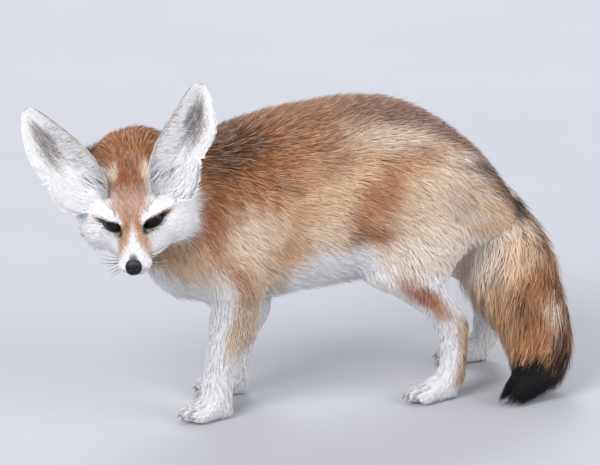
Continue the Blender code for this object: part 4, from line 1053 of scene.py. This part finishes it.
# The skin, as deep under the coat as the coat is thick, and the coat's values at its points.
def makeSkin():
    points, normals, faces = flesh()
    weights = stretchWeights(points)
    coat = wholeCoat(points, normals, weights)
    ahead, ellipse, _, _ = eyeView(points)
    along = coat["lie"] * (coat["length"] * 0.5 * (1 - 0.9 * smooth(2.0, 1.3, ellipse) * ahead))[:, None]
    coat["shown"] = wholeCoat(points + along, normals, weights)["tone"]  # marks sit where hairs' middles show
    skin = points - normals * coat["depth"][:, None]
    skin[:, 2] = np.maximum(skin[:, 2], 0)
    skin = tuckEyes(skin)
    material = paintedMaterial("skin", 160, 0.12, (0.70, 0.90), 0.5, 700, Specular_IOR_Level=0.2)
    mesh = meshFrom("skin", skin, faces, np.clip(coat["tone"] * skinMake["under"], 0.003, 0.8))
    replaced = [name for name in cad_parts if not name.startswith(("eye", "nose", "claw", "ear"))]
    made = piece("skin", mesh, material, replaced)
    print("skin", len(points), "points")
    return points, normals, faces, coat, weights, made


points, normals, faces, coat, weights, skin = makeSkin()
furMaterial = growCoat(points, normals, faces, coat, weights)


# Tail brush.

brush = {
    "tufts": 17000, "reach": 0.20, "width": 0.00090, "from": -0.06, "to": 0.95, "spin": 0.80, "guides": 700,
    "slowFrom": 0.93, "past": 0.70, "end": 1.4, "lineRows": 160, "floor": 0.0012,
    "spots": [  # x, z, size, colour, strength
        (0.128, 0.068, 0.012, "brown", 0.70), (0.151, 0.067, 0.010, "cream", 0.65),
        (0.150, 0.043, 0.012, "brown", 0.85),
    ],
}


# Tufts from the tail's core out to the brush's outline, drawn into locks, black at the tip. Each tuft
# joins the guide nearest to it, and turns slowly round the tail as it runs along it.
def growBrush():
    chance = np.random.default_rng(8)
    count, steps, guides = brush["tufts"], 2, brush["guides"]
    start = brush["from"] + (brush["to"] - brush["from"]) * chance.random(count)
    turn = chance.uniform(0, 2 * np.pi, count)
    guideStart = np.linspace(brush["from"], brush["to"], guides)
    guideTurn = np.mod(np.arange(guides) * np.pi * (3 - math.sqrt(5)), 2 * np.pi)
    between = np.abs(np.angle(np.exp(1j * (turn[:, None] - guideTurn))))
    group = (between * 0.22 + np.abs(start[:, None] - guideStart)).argmin(1)
    reach = brush["reach"] * (0.5 + 0.5 * smooth(0.0, 0.25, start))
    reach = reach * np.random.default_rng(9).uniform(0.8, 1.25, guides)[group]
    reach = reach * chance.uniform(0.85, 1.12, count)
    t = np.linspace(0, 1, steps + 1)
    shares = start[:, None] + reach[:, None] * t
    slow = brush["slowFrom"]
    shares = np.where(shares > slow, slow + brush["past"] * (shares - slow), shares)
    pull = chance.uniform(0.05, 0.40, count)[:, None] * t
    turns = turn[:, None] + np.angle(np.exp(1j * (guideTurn[group] - turn)))[:, None] * pull
    turns = turns + np.random.default_rng(10).normal(0, 0.18, guides)[group][:, None] * t
    turns = turns + chance.normal(0, 0.12, (count, 1)) * t
    turns = turns + brush["spin"] * (0.35 + 0.65 * smooth(0.15, 0.5, start))[:, None] * t
    table = tailAt(np.maximum(shares, 0))
    line = tailAt(np.linspace(0, brush["end"], brush["lineRows"]))
    _, side, rise = framesAlong(line[:, :3], (0, -1, 0))
    last = brush["lineRows"] - 1
    index = np.clip(np.rint(shares / brush["end"] * last).astype(int), 0, last)
    out = side[index] * np.cos(turns)[..., None] + rise[index] * np.sin(turns)[..., None]
    closing = 1 - 1.2 * np.maximum(shares - 0.92, 0)
    radius = np.maximum(table[..., 3] * closing, 0.003) * (0.68 + 0.32 * smooth(0.02, 0.36, shares))
    bulge = smooth(0.2, 0.9, -out[..., 0]) * smooth(0.02, 0.16, shares) * smooth(0.72, 0.48, shares)
    radius = radius * (1 + 0.24 * bulge)
    core = tailAt(np.maximum(start, 0))[:, 3] * tail["coreShare"] - 0.001
    outline = radius * chance.uniform(0.80, 1.04, (count, 1))
    outline = outline * np.random.default_rng(12).uniform(0.93, 1.04, guides)[group][:, None]
    lift = core[:, None] + (outline - core[:, None]) * np.sin(t * np.pi / 2) ** 0.85
    path = table[..., :3] + out * lift[..., None]
    path[..., 0] -= 0.010 * smooth(0.88, 1.08, shares)  # the tip curls forward
    path[..., 2] -= 0.009 * smooth(0.62, 0.85, shares) * t**2  # and its hairs sag
    path[..., 2] = np.maximum(path[..., 2], brush["floor"] + 0.006 * chance.random((count, 1)) ** 2)
    place = path[:, 1]
    tone = tailTone(place, out[:, 1], shares[:, 1])
    light = 0.16 * smooth(0.03, 0.05, place[:, 2])
    tones = tuftTones(tone, light, 0.12 + 0.12 * smooth(0.3, 0.6, shares[:, 1]), group, chance)
    paleRoots = mix(tones[0], colour("cream") * 0.7, 0.5 * smooth(0.035, 0.05, place[:, 2]))
    tones[0] = np.clip(paleRoots, 0.003, 0.8)
    bake = np.column_stack([0.03 + 0.94 * start, 0.03 + 0.94 * np.mod(turn / (2 * np.pi), 1)])
    width = brush["width"] * chance.uniform(0.7, 1.3, count)
    mesh = tuftMesh("coat_tail", path, out, width, tones, bake, chance, 0.4)
    piece("coat_tail", mesh, furMaterial)
    print("coat_tail", len(mesh.polygons), "triangles")


# Brush colours: cream at the root, then sand, tan and tawny with dark streaks, black near the floor, and
# painted light that whitens its forward side near the root.
def tailTone(place, out, share):
    x, _, z = place.T
    rear = smooth(-0.1, 0.9, out[:, 0])
    base = mix(plain("cream", x) * 1.15, colour("sand") * 1.12, smooth(0.10, 0.38, share))
    tanEdge = share + 0.08 * waves(place, 0.03, 51) + 0.16 * out[:, 0]
    tawnyEdge = share + 0.10 * waves(place, 0.035, 52) + 0.12 * out[:, 0]
    tone = paint(
        base,
        ("tan", 0.85 * smooth(0.30, 0.54, tanEdge)),
        ("tawny", 0.70 * smooth(0.46, 0.70, tawnyEdge)),
        ("brown", 0.60 * smooth(0.5, 1.3, waves(place, 0.022, 56)) * smooth(0.30, 0.5, share)),
        ("sand", 0.50 * smooth(0.4, 1.0, waves(place, 0.024, 53)) * (1 - 0.4 * rear)),
        ("brown", 0.65 * rear * smooth(-0.3, 0.6, waves(place, 0.02, 54) + 0.35)))
    for spotX, spotZ, size, name, strength in brush["spots"]:
        reach = np.hypot(x - spotX, (z - spotZ) * 0.8) / size
        tone = paint(tone, (name, strength * smooth(1.3, 0.4, reach) * smooth(0.3, -0.3, out[:, 1])))
    return paint(
        tone,
        # Painted light: the forward side near the root is whitened, where the body shades it.
        ("white", 0.55 * smooth(0.0, 0.8, -out[:, 0]) * smooth(0.52, 0.26, share)),
        ("black", 0.95 * rumpSpot(place)),
        ("black", smooth(0.041, 0.030, z + 0.003 * waves(place, 0.02, 55))))


growBrush()


# Ears.

ears = {  # places in the head's own directions; sign 1 is its left ear
    "root": np.array([-0.0210, 0.0262, 0.0120]),
    "tip": {1: np.array([-0.0370, 0.0595, 0.0860]), -1: np.array([-0.0370, -0.0645, 0.0820])},
    "facesOut": {1: math.radians(16), -1: math.radians(8)},
    "shares": [-0.1, 0.0, 0.1, 0.2, 0.3, 0.4, 0.5, 0.6, 0.7, 0.8, 0.9, 0.96, 0.99, 1.005],
    "half": [  # half width at those shares
        0.0060, 0.0160, 0.0204, 0.0216, 0.0217, 0.0215, 0.0207, 0.0191, 0.0166, 0.0134, 0.0096, 0.0066,
        0.0046, 0.0024],
    "outward": [  # how far the middle lies towards the outer edge there
        0.0, 0.0, 0.0, 0.0, 0.0, 0.0008, 0.0022, 0.0031, 0.0034, 0.0030, 0.0022, 0.0014, 0.0010, 0.0008],
    "curl": (math.radians(64), math.radians(36)), "bow": 0.006, "wall": (0.0022, 0.0012), "under": 0.0004,
    "rows": 64, "columns": 44, "tipEnd": 1.005, "notch": (0.335, 0.018, 0.11),
    "drawnAt": [0.0, 0.1, 0.2, 0.3, 0.4, 0.5, 0.6],  # where the outer edge is drawn in, and how far
    "drawnIn": {1: [0.0, 0.16, 0.21, 0.26, 0.18, 0.08, 0.0], -1: [0.0] * 7},
}
earBands = [  # name, tufts, s range, t range, along, across, length, width, inside, lift at the tip
    ("back", 1400, (0.0, 0.95), (-1.0, 1.0), 1.0, 0.0, 0.0070, 0.00070, False, 0.0006),
    ("skirt", 600, (-0.06, 0.34), (0.78, 1.0), 0.35, 0.45, 0.0080, 0.00060, True, 0.0010),
    ("rim", 1400, (-0.02, 0.97), (0.88, 1.0), 0.8, 0.35, 0.0042, 0.00050, True, 0.0005),
    ("cup", 2000, (0.06, 0.95), (-0.95, 0.98), 1.0, 0.1, 0.0075, 0.00050, True, 0.0018),
    ("cross", 2000, (0.18, 0.80), (-0.98, -0.60), 0.15, 1.0, 0.0120, 0.00055, True, 0.0034),
    ("outer", 500, (0.16, 0.90), (0.62, 0.98), 0.9, -0.5, 0.0070, 0.00050, True, 0.0014),
    ("base", 1100, (-0.06, 0.20), (-0.98, 0.98), 0.7, 0.3, 0.0140, 0.00065, True, 0.0060),
]
earEdges = {"back": 0.94, "skirt": 1.22}  # how far over the outer edge a band's tips may reach, else 1.07


# An ear's root, and the ways along it, that its cup faces, and across it to its outer edge.
def earAxes(sign):
    root = ears["root"] * (1, sign, 1)
    along = unit(ears["tip"][sign] - root)
    out = ears["facesOut"][sign]
    facing = np.array([math.cos(out), math.sin(out) * sign, 0])
    facing = unit(facing - along * (facing @ along))
    return root, along, facing, np.cross(facing, along) * -sign


# A place of the ear: s root to tip, t inner (-1) to outer (1) edge. Each level is an arc whose
# radius is the half width over the sine of its curl; lift goes from the back into the cup.
def earPoint(s, t, sign, lift):
    root, _, facing, across = earAxes(sign)
    half = np.interp(s, ears["shares"], ears["half"])
    beside = np.interp(s, ears["shares"], ears["outward"])
    where, size, depth = ears["notch"]
    t = t - depth * np.maximum(t, 0) ** 3 * np.exp(-(((s - where) / size) ** 2))
    t = t - np.maximum(t, 0) * np.interp(s, ears["drawnAt"], ears["drawnIn"][sign])
    curl = ears["curl"][0] + (ears["curl"][1] - ears["curl"][0]) * np.clip(s, 0, 1)
    radius = half / np.sin(curl)
    bowed = radius - ears["bow"] * np.sin(np.pi * s)
    centre = root + (ears["tip"][sign] - root) * s[..., None] + facing * bowed[..., None]
    centre = centre + across * beside[..., None]
    turned = across * np.sin(t * curl)[..., None] - facing * np.cos(t * curl)[..., None]
    return fromHead(centre + turned * (radius - lift)[..., None]), turned @ headAxes


# Ear colours: tan behind, white inside with a painted grey shade in the hollow and a narrow tan inner edge.
def earTone(s, t, inside):
    s, t = s.ravel(), t.ravel()
    if not inside:
        pale = paint(plain("tan", s), ("cream", 0.55 * smooth(0.25, 0.8, s)))
        return paint(pale, ("white", 0.85 * smooth(0.72, 0.95, np.abs(t))))
    # Painted shade: grey over the deep middle of the cup, carried by the inner skin and the cup's tufts.
    hollowShade = np.hypot((t - np.interp(s, [0.34, 0.62, 0.86], [0.28, 0.14, 0.20])) / 0.52, (s - 0.59) / 0.25)
    hollowShade = hollowShade + 0.12 * waves(np.column_stack([s, t, 0 * s]), 0.25, 91)
    dusk = np.hypot((t + 0.45) / 0.45, (s - 0.13) / 0.10)
    return paint(
        plain("white", s),
        ("grey", 0.86 * smooth(1.40, 0.40, hollowShade)),
        ("grey", 0.3 * smooth(1.3, 0.3, dusk)),
        ("sand", 0.45 * smooth(-0.84, -0.96, t) * smooth(0.85, 0.7, s)))


# Thickness of an ear's wall, from root to tip.
def earWall(s):
    return ears["wall"][0] + (ears["wall"][1] - ears["wall"][0]) * s


# A cup of two grids, its back and its inside, joined round the rim.
def earShell(side, sign):
    rows, columns = ears["rows"], ears["columns"]
    s, t = np.meshgrid(np.linspace(-0.1, ears["tipEnd"], rows), np.linspace(-1, 1, columns), indexing="ij")
    edge = 1 - np.abs(t) ** 6
    back, _ = earPoint(s, t, sign, ears["under"] + 0 * s)
    fold = 0.0005 * np.sin(t * 9) * smooth(0.5, 0.2, s) * edge
    inner, _ = earPoint(s, t, sign, ears["under"] + earWall(s) * (0.35 + 0.65 * edge) + fold)
    quads = gridQuads(rows, columns, closed=False)
    count = rows * columns
    loop = np.concatenate([
        np.arange(rows - 1) * columns, (rows - 1) * columns + np.arange(columns - 1),
        np.arange(rows - 1, 0, -1) * columns + columns - 1, np.arange(columns - 1, 0, -1)])
    after = np.roll(loop, -1)
    rim = np.column_stack([loop, after, after + count, loop + count])
    if sign > 0:
        every = np.vstack([quads[:, ::-1], quads + count, rim])
    else:
        every = np.vstack([quads, quads[:, ::-1] + count, rim[:, ::-1]])
    colours = np.vstack([earTone(s, t, False) * 0.8, earTone(s, t, True) * 0.85])
    return meshFrom("ear_skin_" + side, np.concatenate([back, inner]).reshape(-1, 3), every, colours)


# Short hair over the ear's back and edges, and long white hair that crosses the cup from its inner edge.
# Each tuft starts at its s and t, runs on along and across the ear, and rises by its band's lift.
def earTufts(side, sign):
    chance = np.random.default_rng(60 + sign)
    height = np.linalg.norm(ears["tip"][sign] - ears["root"] * (1, sign, 1))
    steps = np.linspace(0, 1, 3)
    every = []
    for name, count, sRange, tRange, along, across, length, width, inside, lift in earBands:
        s = chance.uniform(*sRange, count)
        t = chance.uniform(*tRange, count)
        sideways = np.ones(count)
        if name == "rim":
            sideways = np.where(chance.random(count) < 0.5, -1, 1)
            t = t * sideways
        shorter = (1 - 0.35 * smooth(0.6, 1.0, s)) * (1 - 0.6 * smooth(0.84, 0.97, s))
        if name == "cross":
            shorter = shorter * (1 - 0.45 * smooth(0.48, 0.62, s))
        long = length * chance.uniform(0.7, 1.25, count) * shorter
        lean = chance.normal(0, 0.18, count)
        up = s[:, None] + (long * (along + 0.2 * lean) / height)[:, None] * steps
        over = t[:, None] + (long * (across * sideways + lean) / 0.0225)[:, None] * steps
        over = np.clip(over, -1.07 if inside else -0.94, earEdges.get(name, 1.07))
        rise = lift * chance.uniform(0.5, 1.3, count)[:, None] * np.sin(steps * np.pi / 2)
        wall = earWall(np.clip(up, 0, 1))
        level = wall * (0.7 if name != "rim" else 0.3) + rise if inside else -rise
        place, turned = earPoint(np.clip(up, -0.1, 1.0), over, sign, level)
        place = place + (np.maximum(up - 1.0, 0) * height)[..., None] * (earAxes(sign)[1] @ headAxes)
        tone = earTone(s, t, inside)
        if name in ("cross", "outer", "skirt"):  # white, with some grey hairs across the cup
            tone = paint(tone, ("white", 0.9))
            tone = paint(tone, ("grey", 0.45 * (chance.random(count) < 0.22) * (name == "cross")))
        if name == "cup":
            tone = paint(tone, ("white", 0.40 * (chance.random(count) < 0.40)))
        if name == "base":
            smoky = (chance.random(count) < 0.24) & (t < 0.0) & (s > 0.02) & (s < 0.15)
            tone = np.where(smoky[:, None], colour("slate"), colour("white"))
        wide = width * chance.uniform(0.7, 1.3, count)
        every.append((place, turned * (-1 if inside else 1), wide, tone, s, t, np.full(count, inside)))
    path, out, width, tone, s, t, inside = (np.concatenate(values) for values in zip(*every))
    group = (np.floor(s * 30) * 40 + np.floor((t + 1) * 12)).astype(int)
    tones = tuftTones(tone, 0.1, 0.03, group, chance)
    bake = np.column_stack([0.02 + 0.96 * s, (inside + 0.05 + 0.9 * (t + 1) / 2) / 2])
    mesh = tuftMesh("coat_ear_" + side, path, out, width, tones, bake, chance, 0.8)
    piece("coat_ear_" + side, mesh, furMaterial)
    print("coat_ear_" + side, len(mesh.polygons), "triangles")


earMaterial = paintedMaterial("ear_skin", 300, 0.10, (0.60, 0.85), 0.4, 1200, Specular_IOR_Level=0.25)
for side, sign in (("left", 1), ("right", -1)):
    piece("ear_skin_" + side, earShell(side, sign), earMaterial, ["ear_" + side])
    earTufts(side, sign)


# Eyes and lids.

ball = {
    "rings": 36, "sides": 48, "bulge": 0.03, "bulgeWithin": (0.75, 0.25),
    "pupilWithin": (0.46, 0.34), "darkBeyond": (0.66, 0.80),  # angles from the way it looks, in radians
}


# A ball whose rings run round the way it looks, with a slightly raised clear front.
def eyeball(side, sign):
    middle, looks, wide, high = eyeFrame(sign)
    sides = ball["sides"]
    down = (np.arange(ball["rings"]) + 0.5) * np.pi / ball["rings"]
    turn = turnsOf(sides)
    radius = eyes["radius"] * (1 + ball["bulge"] * smooth(*ball["bulgeWithin"], down))
    x = (radius * np.cos(down))[:, None] * np.ones(sides)
    y, z = ((radius * np.sin(down))[:, None] * wave for wave in (np.cos(turn), np.sin(turn)))
    grid = middle + x[..., None] * looks + y[..., None] * wide + z[..., None] * high
    ballPoints, ballFaces = closedTube(grid)
    ring = np.repeat(down, sides)
    tone = paint(
        plain("iris", ring),
        ("pupil", smooth(*ball["pupilWithin"], ring)),
        ("pupil", smooth(*ball["darkBeyond"], ring)))
    tone = np.vstack([tone, colour("pupil"), colour("pupil")])
    return meshFrom("eye_ball_" + side, ballPoints, ballFaces[:, ::-1] if sign > 0 else ballFaces, tone)


lids = {
    "around": 64, "rings": 9, "pointed": 1.25, "lowShare": 0.9, "wider": 1.12, "beyond": 0.0024,
    "onBall": 0.0001, "underSkin": 0.0005, "behind": 0.0022, "roll": 0.0007,
    "rayStart": 0.03, "rayLength": 0.06, "missed": 0.002,
}


# A soft rim round the almond opening, from the eyeball's surface out onto the face. Its outer edge lies
# where rays from in front meet the skin.
def lidBand(side, sign, tree):
    middle, looks, wide, high = eyeFrame(sign)
    around, rings = lids["around"], lids["rings"]
    turn = turnsOf(around)
    pointed = powered(np.sin(turn), lids["pointed"])
    half = np.array(eyes["opening"]) / 2
    lowered = np.where(pointed > 0, 1.0, lids["lowShare"])
    edge = np.column_stack([np.cos(turn) * half[0], pointed * half[1] * lowered])
    outer = edge * lids["wider"] + unit(edge / half**2) * lids["beyond"]
    found = []
    for a, b in outer:
        start = middle + wide * a + high * b + looks * lids["rayStart"]
        hit = tree.ray_cast(Vector(start + shift), Vector(-looks), lids["rayLength"])[0]
        found.append(lids["missed"] if hit is None else float((np.array(hit) - shift - middle) @ looks))
    inDepth = np.sqrt(np.maximum((eyes["radius"] + lids["onBall"]) ** 2 - (edge**2).sum(1), 0))
    outDepth = np.array(found) - lids["underSkin"]
    b = np.linspace(0, 1, rings)[:, None]
    plane = edge + (outer - edge) * b[..., None]
    roll = lids["roll"] * np.sin(np.pi * b) ** 0.8 * (1 - b)
    depth = inDepth + (outDepth - inDepth) * b**0.8 + roll
    grid = middle + plane[..., :1] * wide + plane[..., 1:] * high + depth[..., None] * looks
    inner = middle + edge[:, :1] * 1.01 * wide + edge[:, 1:] * 1.01 * high
    inner = inner + (inDepth - lids["behind"])[:, None] * looks
    grid = np.concatenate([inner[None], grid])
    shade = np.concatenate([[0], np.linspace(0, 1, rings)])
    reach = 0.18 + 0.55 * np.abs(np.cos(turn)) ** 12
    share = smooth(reach, reach + 0.24, shade[:, None]).ravel()
    innerLow = smooth(0.1, -0.5, np.cos(turn)) * smooth(0.3, -0.2, np.sin(turn))
    tone = paint(
        plain("lid", share),
        (colour("white") * 0.8, share),
        (colour("tawny") * 0.5, 0.9 * share * np.tile(innerLow, rings + 1)))
    mesh = meshFrom("lid_" + side, grid.reshape(-1, 3), gridQuads(rings + 1, around), tone)
    return turnedOut(mesh, looks)


bpy.context.view_layer.update()
skinTree = BVHTree.FromObject(skin, bpy.context.evaluated_depsgraph_get())
eyeMaterial = paintedMaterial("eye_surface", 600, 0.25, (0.02, 0.04), Specular_IOR_Level=0.22)
lidMaterial = paintedMaterial("lid_skin", 500, 0.15, (0.35, 0.55), 0.4, 1500)
for side, sign in (("left", 1), ("right", -1)):
    piece("eye_ball_" + side, eyeball(side, sign), eyeMaterial, ["eye_" + side])
    piece("lid_" + side, lidBand(side, sign, skinTree), lidMaterial)
print("eyes and lids made")


# Nose, mouth, whiskers and claws.

nosePad = {
    "rows": [  # x, top, bottom, half width
        (0.0335, -0.0122, -0.0162, 0.0030), (0.0358, -0.0090, -0.0188, 0.0052),
        (0.0380, -0.0084, -0.0199, 0.0059), (0.0400, -0.0096, -0.0195, 0.0052),
        (0.0412, -0.0120, -0.0176, 0.0030),
    ],
    "sides": 48, "roundness": 2.3, "groove": 0.0005, "grooveWidth": 0.0005,
    "nostril": (0.0398, 0.0029, -0.0142), "nostrilRadii": (0.0030, 0.0014, 0.0013),
    "nostrilDepth": 0.0018, "nostrilDrawn": 0.0006,
}


# The bare pad: superellipse rings, with nostrils and the groove between them pressed in.
def nose():
    x, top, bottom, half = flowing(nosePad["rows"], 8).T
    across, along = superellipse(nosePad["sides"], nosePad["roundness"])
    across, along = across * half[:, None], along * (top - bottom)[:, None] / 2
    grid = np.stack([x[:, None] + 0 * across, across, (top + bottom)[:, None] / 2 + along], axis=-1)
    padPoints, padFaces = closedTube(grid)
    px, py, pz = padPoints.T
    nx, ny, nz = nosePad["nostril"]
    offset = np.array([px - nx, np.abs(py) - ny - 0.6 * (nx - px), pz - nz])
    reach = np.sqrt(((offset / np.array(nosePad["nostrilRadii"])[:, None]) ** 2).sum(0))
    # This mask presses the nostrils in, and also paints them darker than the pad: painted shade in their
    # hollows.
    dentAndShade = smooth(1.35, 0.5, reach)
    padPoints[:, 0] -= nosePad["nostrilDepth"] * dentAndShade
    padPoints[:, 1] -= np.sign(py) * nosePad["nostrilDrawn"] * dentAndShade
    groove = np.exp(-((py / nosePad["grooveWidth"]) ** 2)) * smooth(0.037, 0.040, px)
    padPoints[:, 0] -= nosePad["groove"] * groove
    # Painted sheen: the pad's upper face is blue-grey, the sky's reflection on its black leather.
    tone = paint(plain("nose", px), ("noseTopSheen", 0.85 * smooth(-0.0128, -0.0098, pz)), ("pupil", dentAndShade))
    return meshFrom("nose_pad", fromHead(padPoints), padFaces, tone)


# Nose skin: small cells raised between fine lines.
def pebbledMaterial():
    material = paintedMaterial("nose_leather", 900, 0.18, (0.32, 0.48), Specular_IOR_Level=0.3)
    nodes, links = material.node_tree.nodes, material.node_tree.links
    place, cells, bumped = (nodes.new("ShaderNode" + kind) for kind in ("TexCoord", "TexVoronoi", "Bump"))
    cells.inputs["Scale"].default_value = 1500
    bumped.inputs["Strength"].default_value = 0.5
    bumped.inputs["Distance"].default_value = 0.0003
    bumped.invert = True
    links.new(place.outputs["Object"], cells.inputs["Vector"])
    links.new(cells.outputs["Distance"], bumped.inputs["Height"])
    links.new(bumped.outputs["Normal"], nodes["Principled BSDF"].inputs["Normal"])
    return material


# Thin closed tubes along many paths at once: rings square to each path, closed to a point at both ends.
def tubesAlong(name, paths, radii, tone, sides=5):
    run = unit(np.gradient(paths, axis=1))
    side = unit(np.cross(run, np.array([0.13, 0.21, 0.97])))
    rise = np.cross(run, side)
    turn = turnsOf(sides)
    ring = np.cos(turn)[:, None] * side[:, :, None, :] + np.sin(turn)[:, None] * rise[:, :, None, :]
    tubePoints, tubeFaces = joinedTubes(paths[:, :, None, :] + ring * radii[:, :, None, None])
    return meshFrom(name, tubePoints, tubeFaces, plain(tone, tubePoints))


whisker = {
    "pad": 11, "brow": 2, "long": (0.026, 0.040), "short": (0.009, 0.013), "radius": 0.00020, "sunk": 0.002,
    "droop": {-1: 0.30, 1: 0.0}, "bend": np.array([-0.55, 0.0, -0.16]), "points": 9,
}


# Stiff hairs from the whisker pads, swept back, and a few over the eyes.
def whiskers():
    chance = np.random.default_rng(15)
    rows = []
    for sign in (-1, 1):
        for k in range(whisker["pad"]):
            level, along = k % 4, k // 4
            forward, height = 0.0305 - 0.0036 * along - 0.0008 * level, -0.0135 - 0.0022 * level
            root = np.array([forward, 0.0090 + 0.0010 * along, height])
            length = chance.uniform(*whisker["long"]) * (0.75 + 0.1 * along)
            sunken = -0.22 - whisker["droop"][sign] - 0.16 * level + 0.08 * chance.normal()
            rows.append((root, unit(np.array([-0.55 - 0.1 * along, 0.80, sunken])), length, sign))
        for k in range(whisker["brow"]):
            root = np.array([-0.0020 - 0.0026 * k, 0.0120 + 0.0026 * k, 0.0100])
            heading = unit(np.array([0.10 - 0.2 * k, 0.35 + 0.1 * k, 0.75]))
            rows.append((root, heading, chance.uniform(*whisker["short"]), sign))
    t = np.linspace(0, 1, whisker["points"])
    paths = []
    for root, heading, length, sign in rows:
        bend = whisker["bend"] * length
        line = root - heading * whisker["sunk"] + heading * length * t[:, None] + bend * (t**2)[:, None]
        paths.append(fromHead(line * (1, sign, 1)))
    radii = np.tile(whisker["radius"] * (1 - 0.85 * t), (len(paths), 1))
    return tubesAlong("whiskers", np.array(paths), radii, "whisker")


mouth = {
    "reach": math.radians(122), "points": 41, "centre": (0.0200, 0.0, -0.0232), "radius": 0.00075, "ray": 0.2,
}


# Dark lips: a thin tube where rays from inside the muzzle leave the skin.
def mouthLine():
    turns = np.linspace(-mouth["reach"], mouth["reach"], mouth["points"])
    centre = fromHead(mouth["centre"])
    rises = 0.10 * (1 - np.cos(turns)) - 0.12
    path = []
    for turn, rise in zip(turns, rises):
        way = unit(np.array([math.cos(turn), math.sin(turn), rise])) @ headAxes
        hit = skinTree.ray_cast(Vector(centre + shift + way * mouth["ray"]), Vector(-way), mouth["ray"])[0]
        path.append(np.array(hit) - shift)
    size = mouth["radius"] * (1 - 0.7 * np.abs(np.linspace(-1, 1, mouth["points"])) ** 4)
    return tubesAlong("mouth_line", np.array(path)[None], size[None], "lid", 8)


claw = {"from": 0.0040, "length": 0.0062, "top": 0.0004, "sink": 0.0028, "radius": 0.00090, "points": 8}


# Sixteen curved claws: rings that shrink and sink along each path.
def claws():
    t = np.linspace(0, 1, claw["points"])
    curve = np.column_stack([claw["from"] + claw["length"] * t, 0 * t, claw["top"] - claw["sink"] * t**2])
    paths = []
    for which in legs["steps"]:
        heel, axes = pawPlace(which)
        paths += [heel + (toe + curve) @ axes for toe in toePlaces(which)]
    radii = np.tile(claw["radius"] * (1 - 0.88 * t**1.6), (len(paths), 1))
    return tubesAlong("claw_set", np.array(paths), radii, "claw", 10)


piece("nose_pad", nose(), pebbledMaterial(), ["nose"])
hornMaterial = paintedMaterial("horn", 500, 0.20, (0.35, 0.50))
piece("whiskers", whiskers(), hornMaterial)
piece("mouth_line", mouthLine(), lidMaterial)
piece("claw_set", claws(), hornMaterial, [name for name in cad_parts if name.startswith("claw")])
print("nose, mouth, whiskers and claws made")


# Camera, light and floor.

view = {
    "azimuth": math.radians(-20), "elevation": math.radians(17), "distance": 4.0, "scale": 1350,
    "origin": (335.5, 391.0), "image": (600, 465), "sensor": 36.0,
}


# The photo's view: a long lens, its frame set so that the design's origin falls on its pixel.
def makeCamera():
    a, e = view["azimuth"], view["elevation"]
    back = np.array([math.sin(a) * math.cos(e), -math.cos(a) * math.cos(e), math.sin(e)])
    right = np.array([math.cos(a), math.sin(a), 0])
    up = np.cross(back, right)
    width, height = view["image"]
    target = right * (width / 2 - view["origin"][0]) / view["scale"]
    target = target + up * (view["origin"][1] - height / 2) / view["scale"]
    data = bpy.data.cameras.new("camera")
    data.sensor_width = view["sensor"]
    data.lens = view["scale"] * view["distance"] / width * view["sensor"]
    data.clip_end = 50
    camera = objectFrom("camera", data)
    place = target + back * view["distance"] + shift
    turned = Matrix([[*row, 0] for row in np.column_stack([right, up, back])] + [[0, 0, 0, 1]])
    camera.matrix_world = Matrix.Translation(place) @ turned
    bpy.context.scene.camera = camera


# A round lamp that points at the middle of the animal.
def areaLight(name, place, size, power, tint):
    data = bpy.data.lights.new(name, "AREA")
    data.shape, data.size, data.energy, data.color = "DISK", size, power, tint
    lamp = objectFrom(name, data)
    lamp.location = place
    lamp.rotation_mode = "QUATERNION"
    lamp.rotation_quaternion = (Vector(studio["aim"]) - Vector(place)).to_track_quat("-Z", "Y")


studio = {
    "aim": (0, 0, 0.12), "sky": (0.78, 0.81, 0.92, 1), "skyStrength": 0.66,
    "floorRadius": 6, "floorSides": 96, "floorLevel": -0.0002, "floorGrain": 6, "floorRoughness": 0.9,
    "floorTones": [(0.42, 0.42, 0.43, 1), (0.46, 0.46, 0.47, 1)],
    "lights": [  # name, place, size, power, tint
        ("key", (-2.1, -1.5, 2.1), 1.8, 98, (0.94, 0.945, 1.0)),
        ("fill", (1.8, -1.4, 1.1), 1.8, 36, (0.92, 0.94, 1.0)),
        ("low", (-0.9, -2.4, 0.5), 1.4, 14, (0.93, 0.94, 1.0)),
        ("back", (0.6, 1.8, 1.8), 1.4, 36, (0.93, 0.95, 1.0)),
    ],
}


# A wide pale disc under the paws.
def makeFloor():
    sides, radius = studio["floorSides"], studio["floorRadius"]
    turn = turnsOf(sides)
    rim = np.column_stack([np.cos(turn) * radius, np.sin(turn) * radius, 0 * turn])
    disc = np.vstack([rim, [0, 0, 0]]) - shift
    disc[:, 2] = studio["floorLevel"]
    ring = np.arange(sides)
    mesh = meshFrom("floor", disc, np.column_stack([ring, (ring + 1) % sides, np.full(sides, sides)]))
    made = objectFrom("floor", mesh)
    material, nodes, links, shader = newMaterial("floor", Roughness=studio["floorRoughness"])
    fine = noiseNode(nodes, links, studio["floorGrain"])
    ramp = nodes.new("ShaderNodeValToRGB")
    for stop, tone in zip(ramp.color_ramp.elements, studio["floorTones"]):
        stop.color = tone
    links.new(fine, ramp.inputs["Fac"])
    links.new(ramp.outputs["Color"], shader.inputs["Base Color"])
    mesh.materials.append(material)


# Four soft lamps and an even sky.
def makeLight():
    for lamp in studio["lights"]:
        areaLight(*lamp)
    world = bpy.data.worlds.new("studio")
    world.use_nodes = True
    sky = world.node_tree.nodes["Background"]
    sky.inputs["Color"].default_value = studio["sky"]
    sky.inputs["Strength"].default_value = studio["skyStrength"]
    bpy.context.scene.world = world
    bpy.context.scene.view_settings.view_transform = "Standard"


makeCamera()
makeFloor()
makeLight()
print("camera, floor and light set")
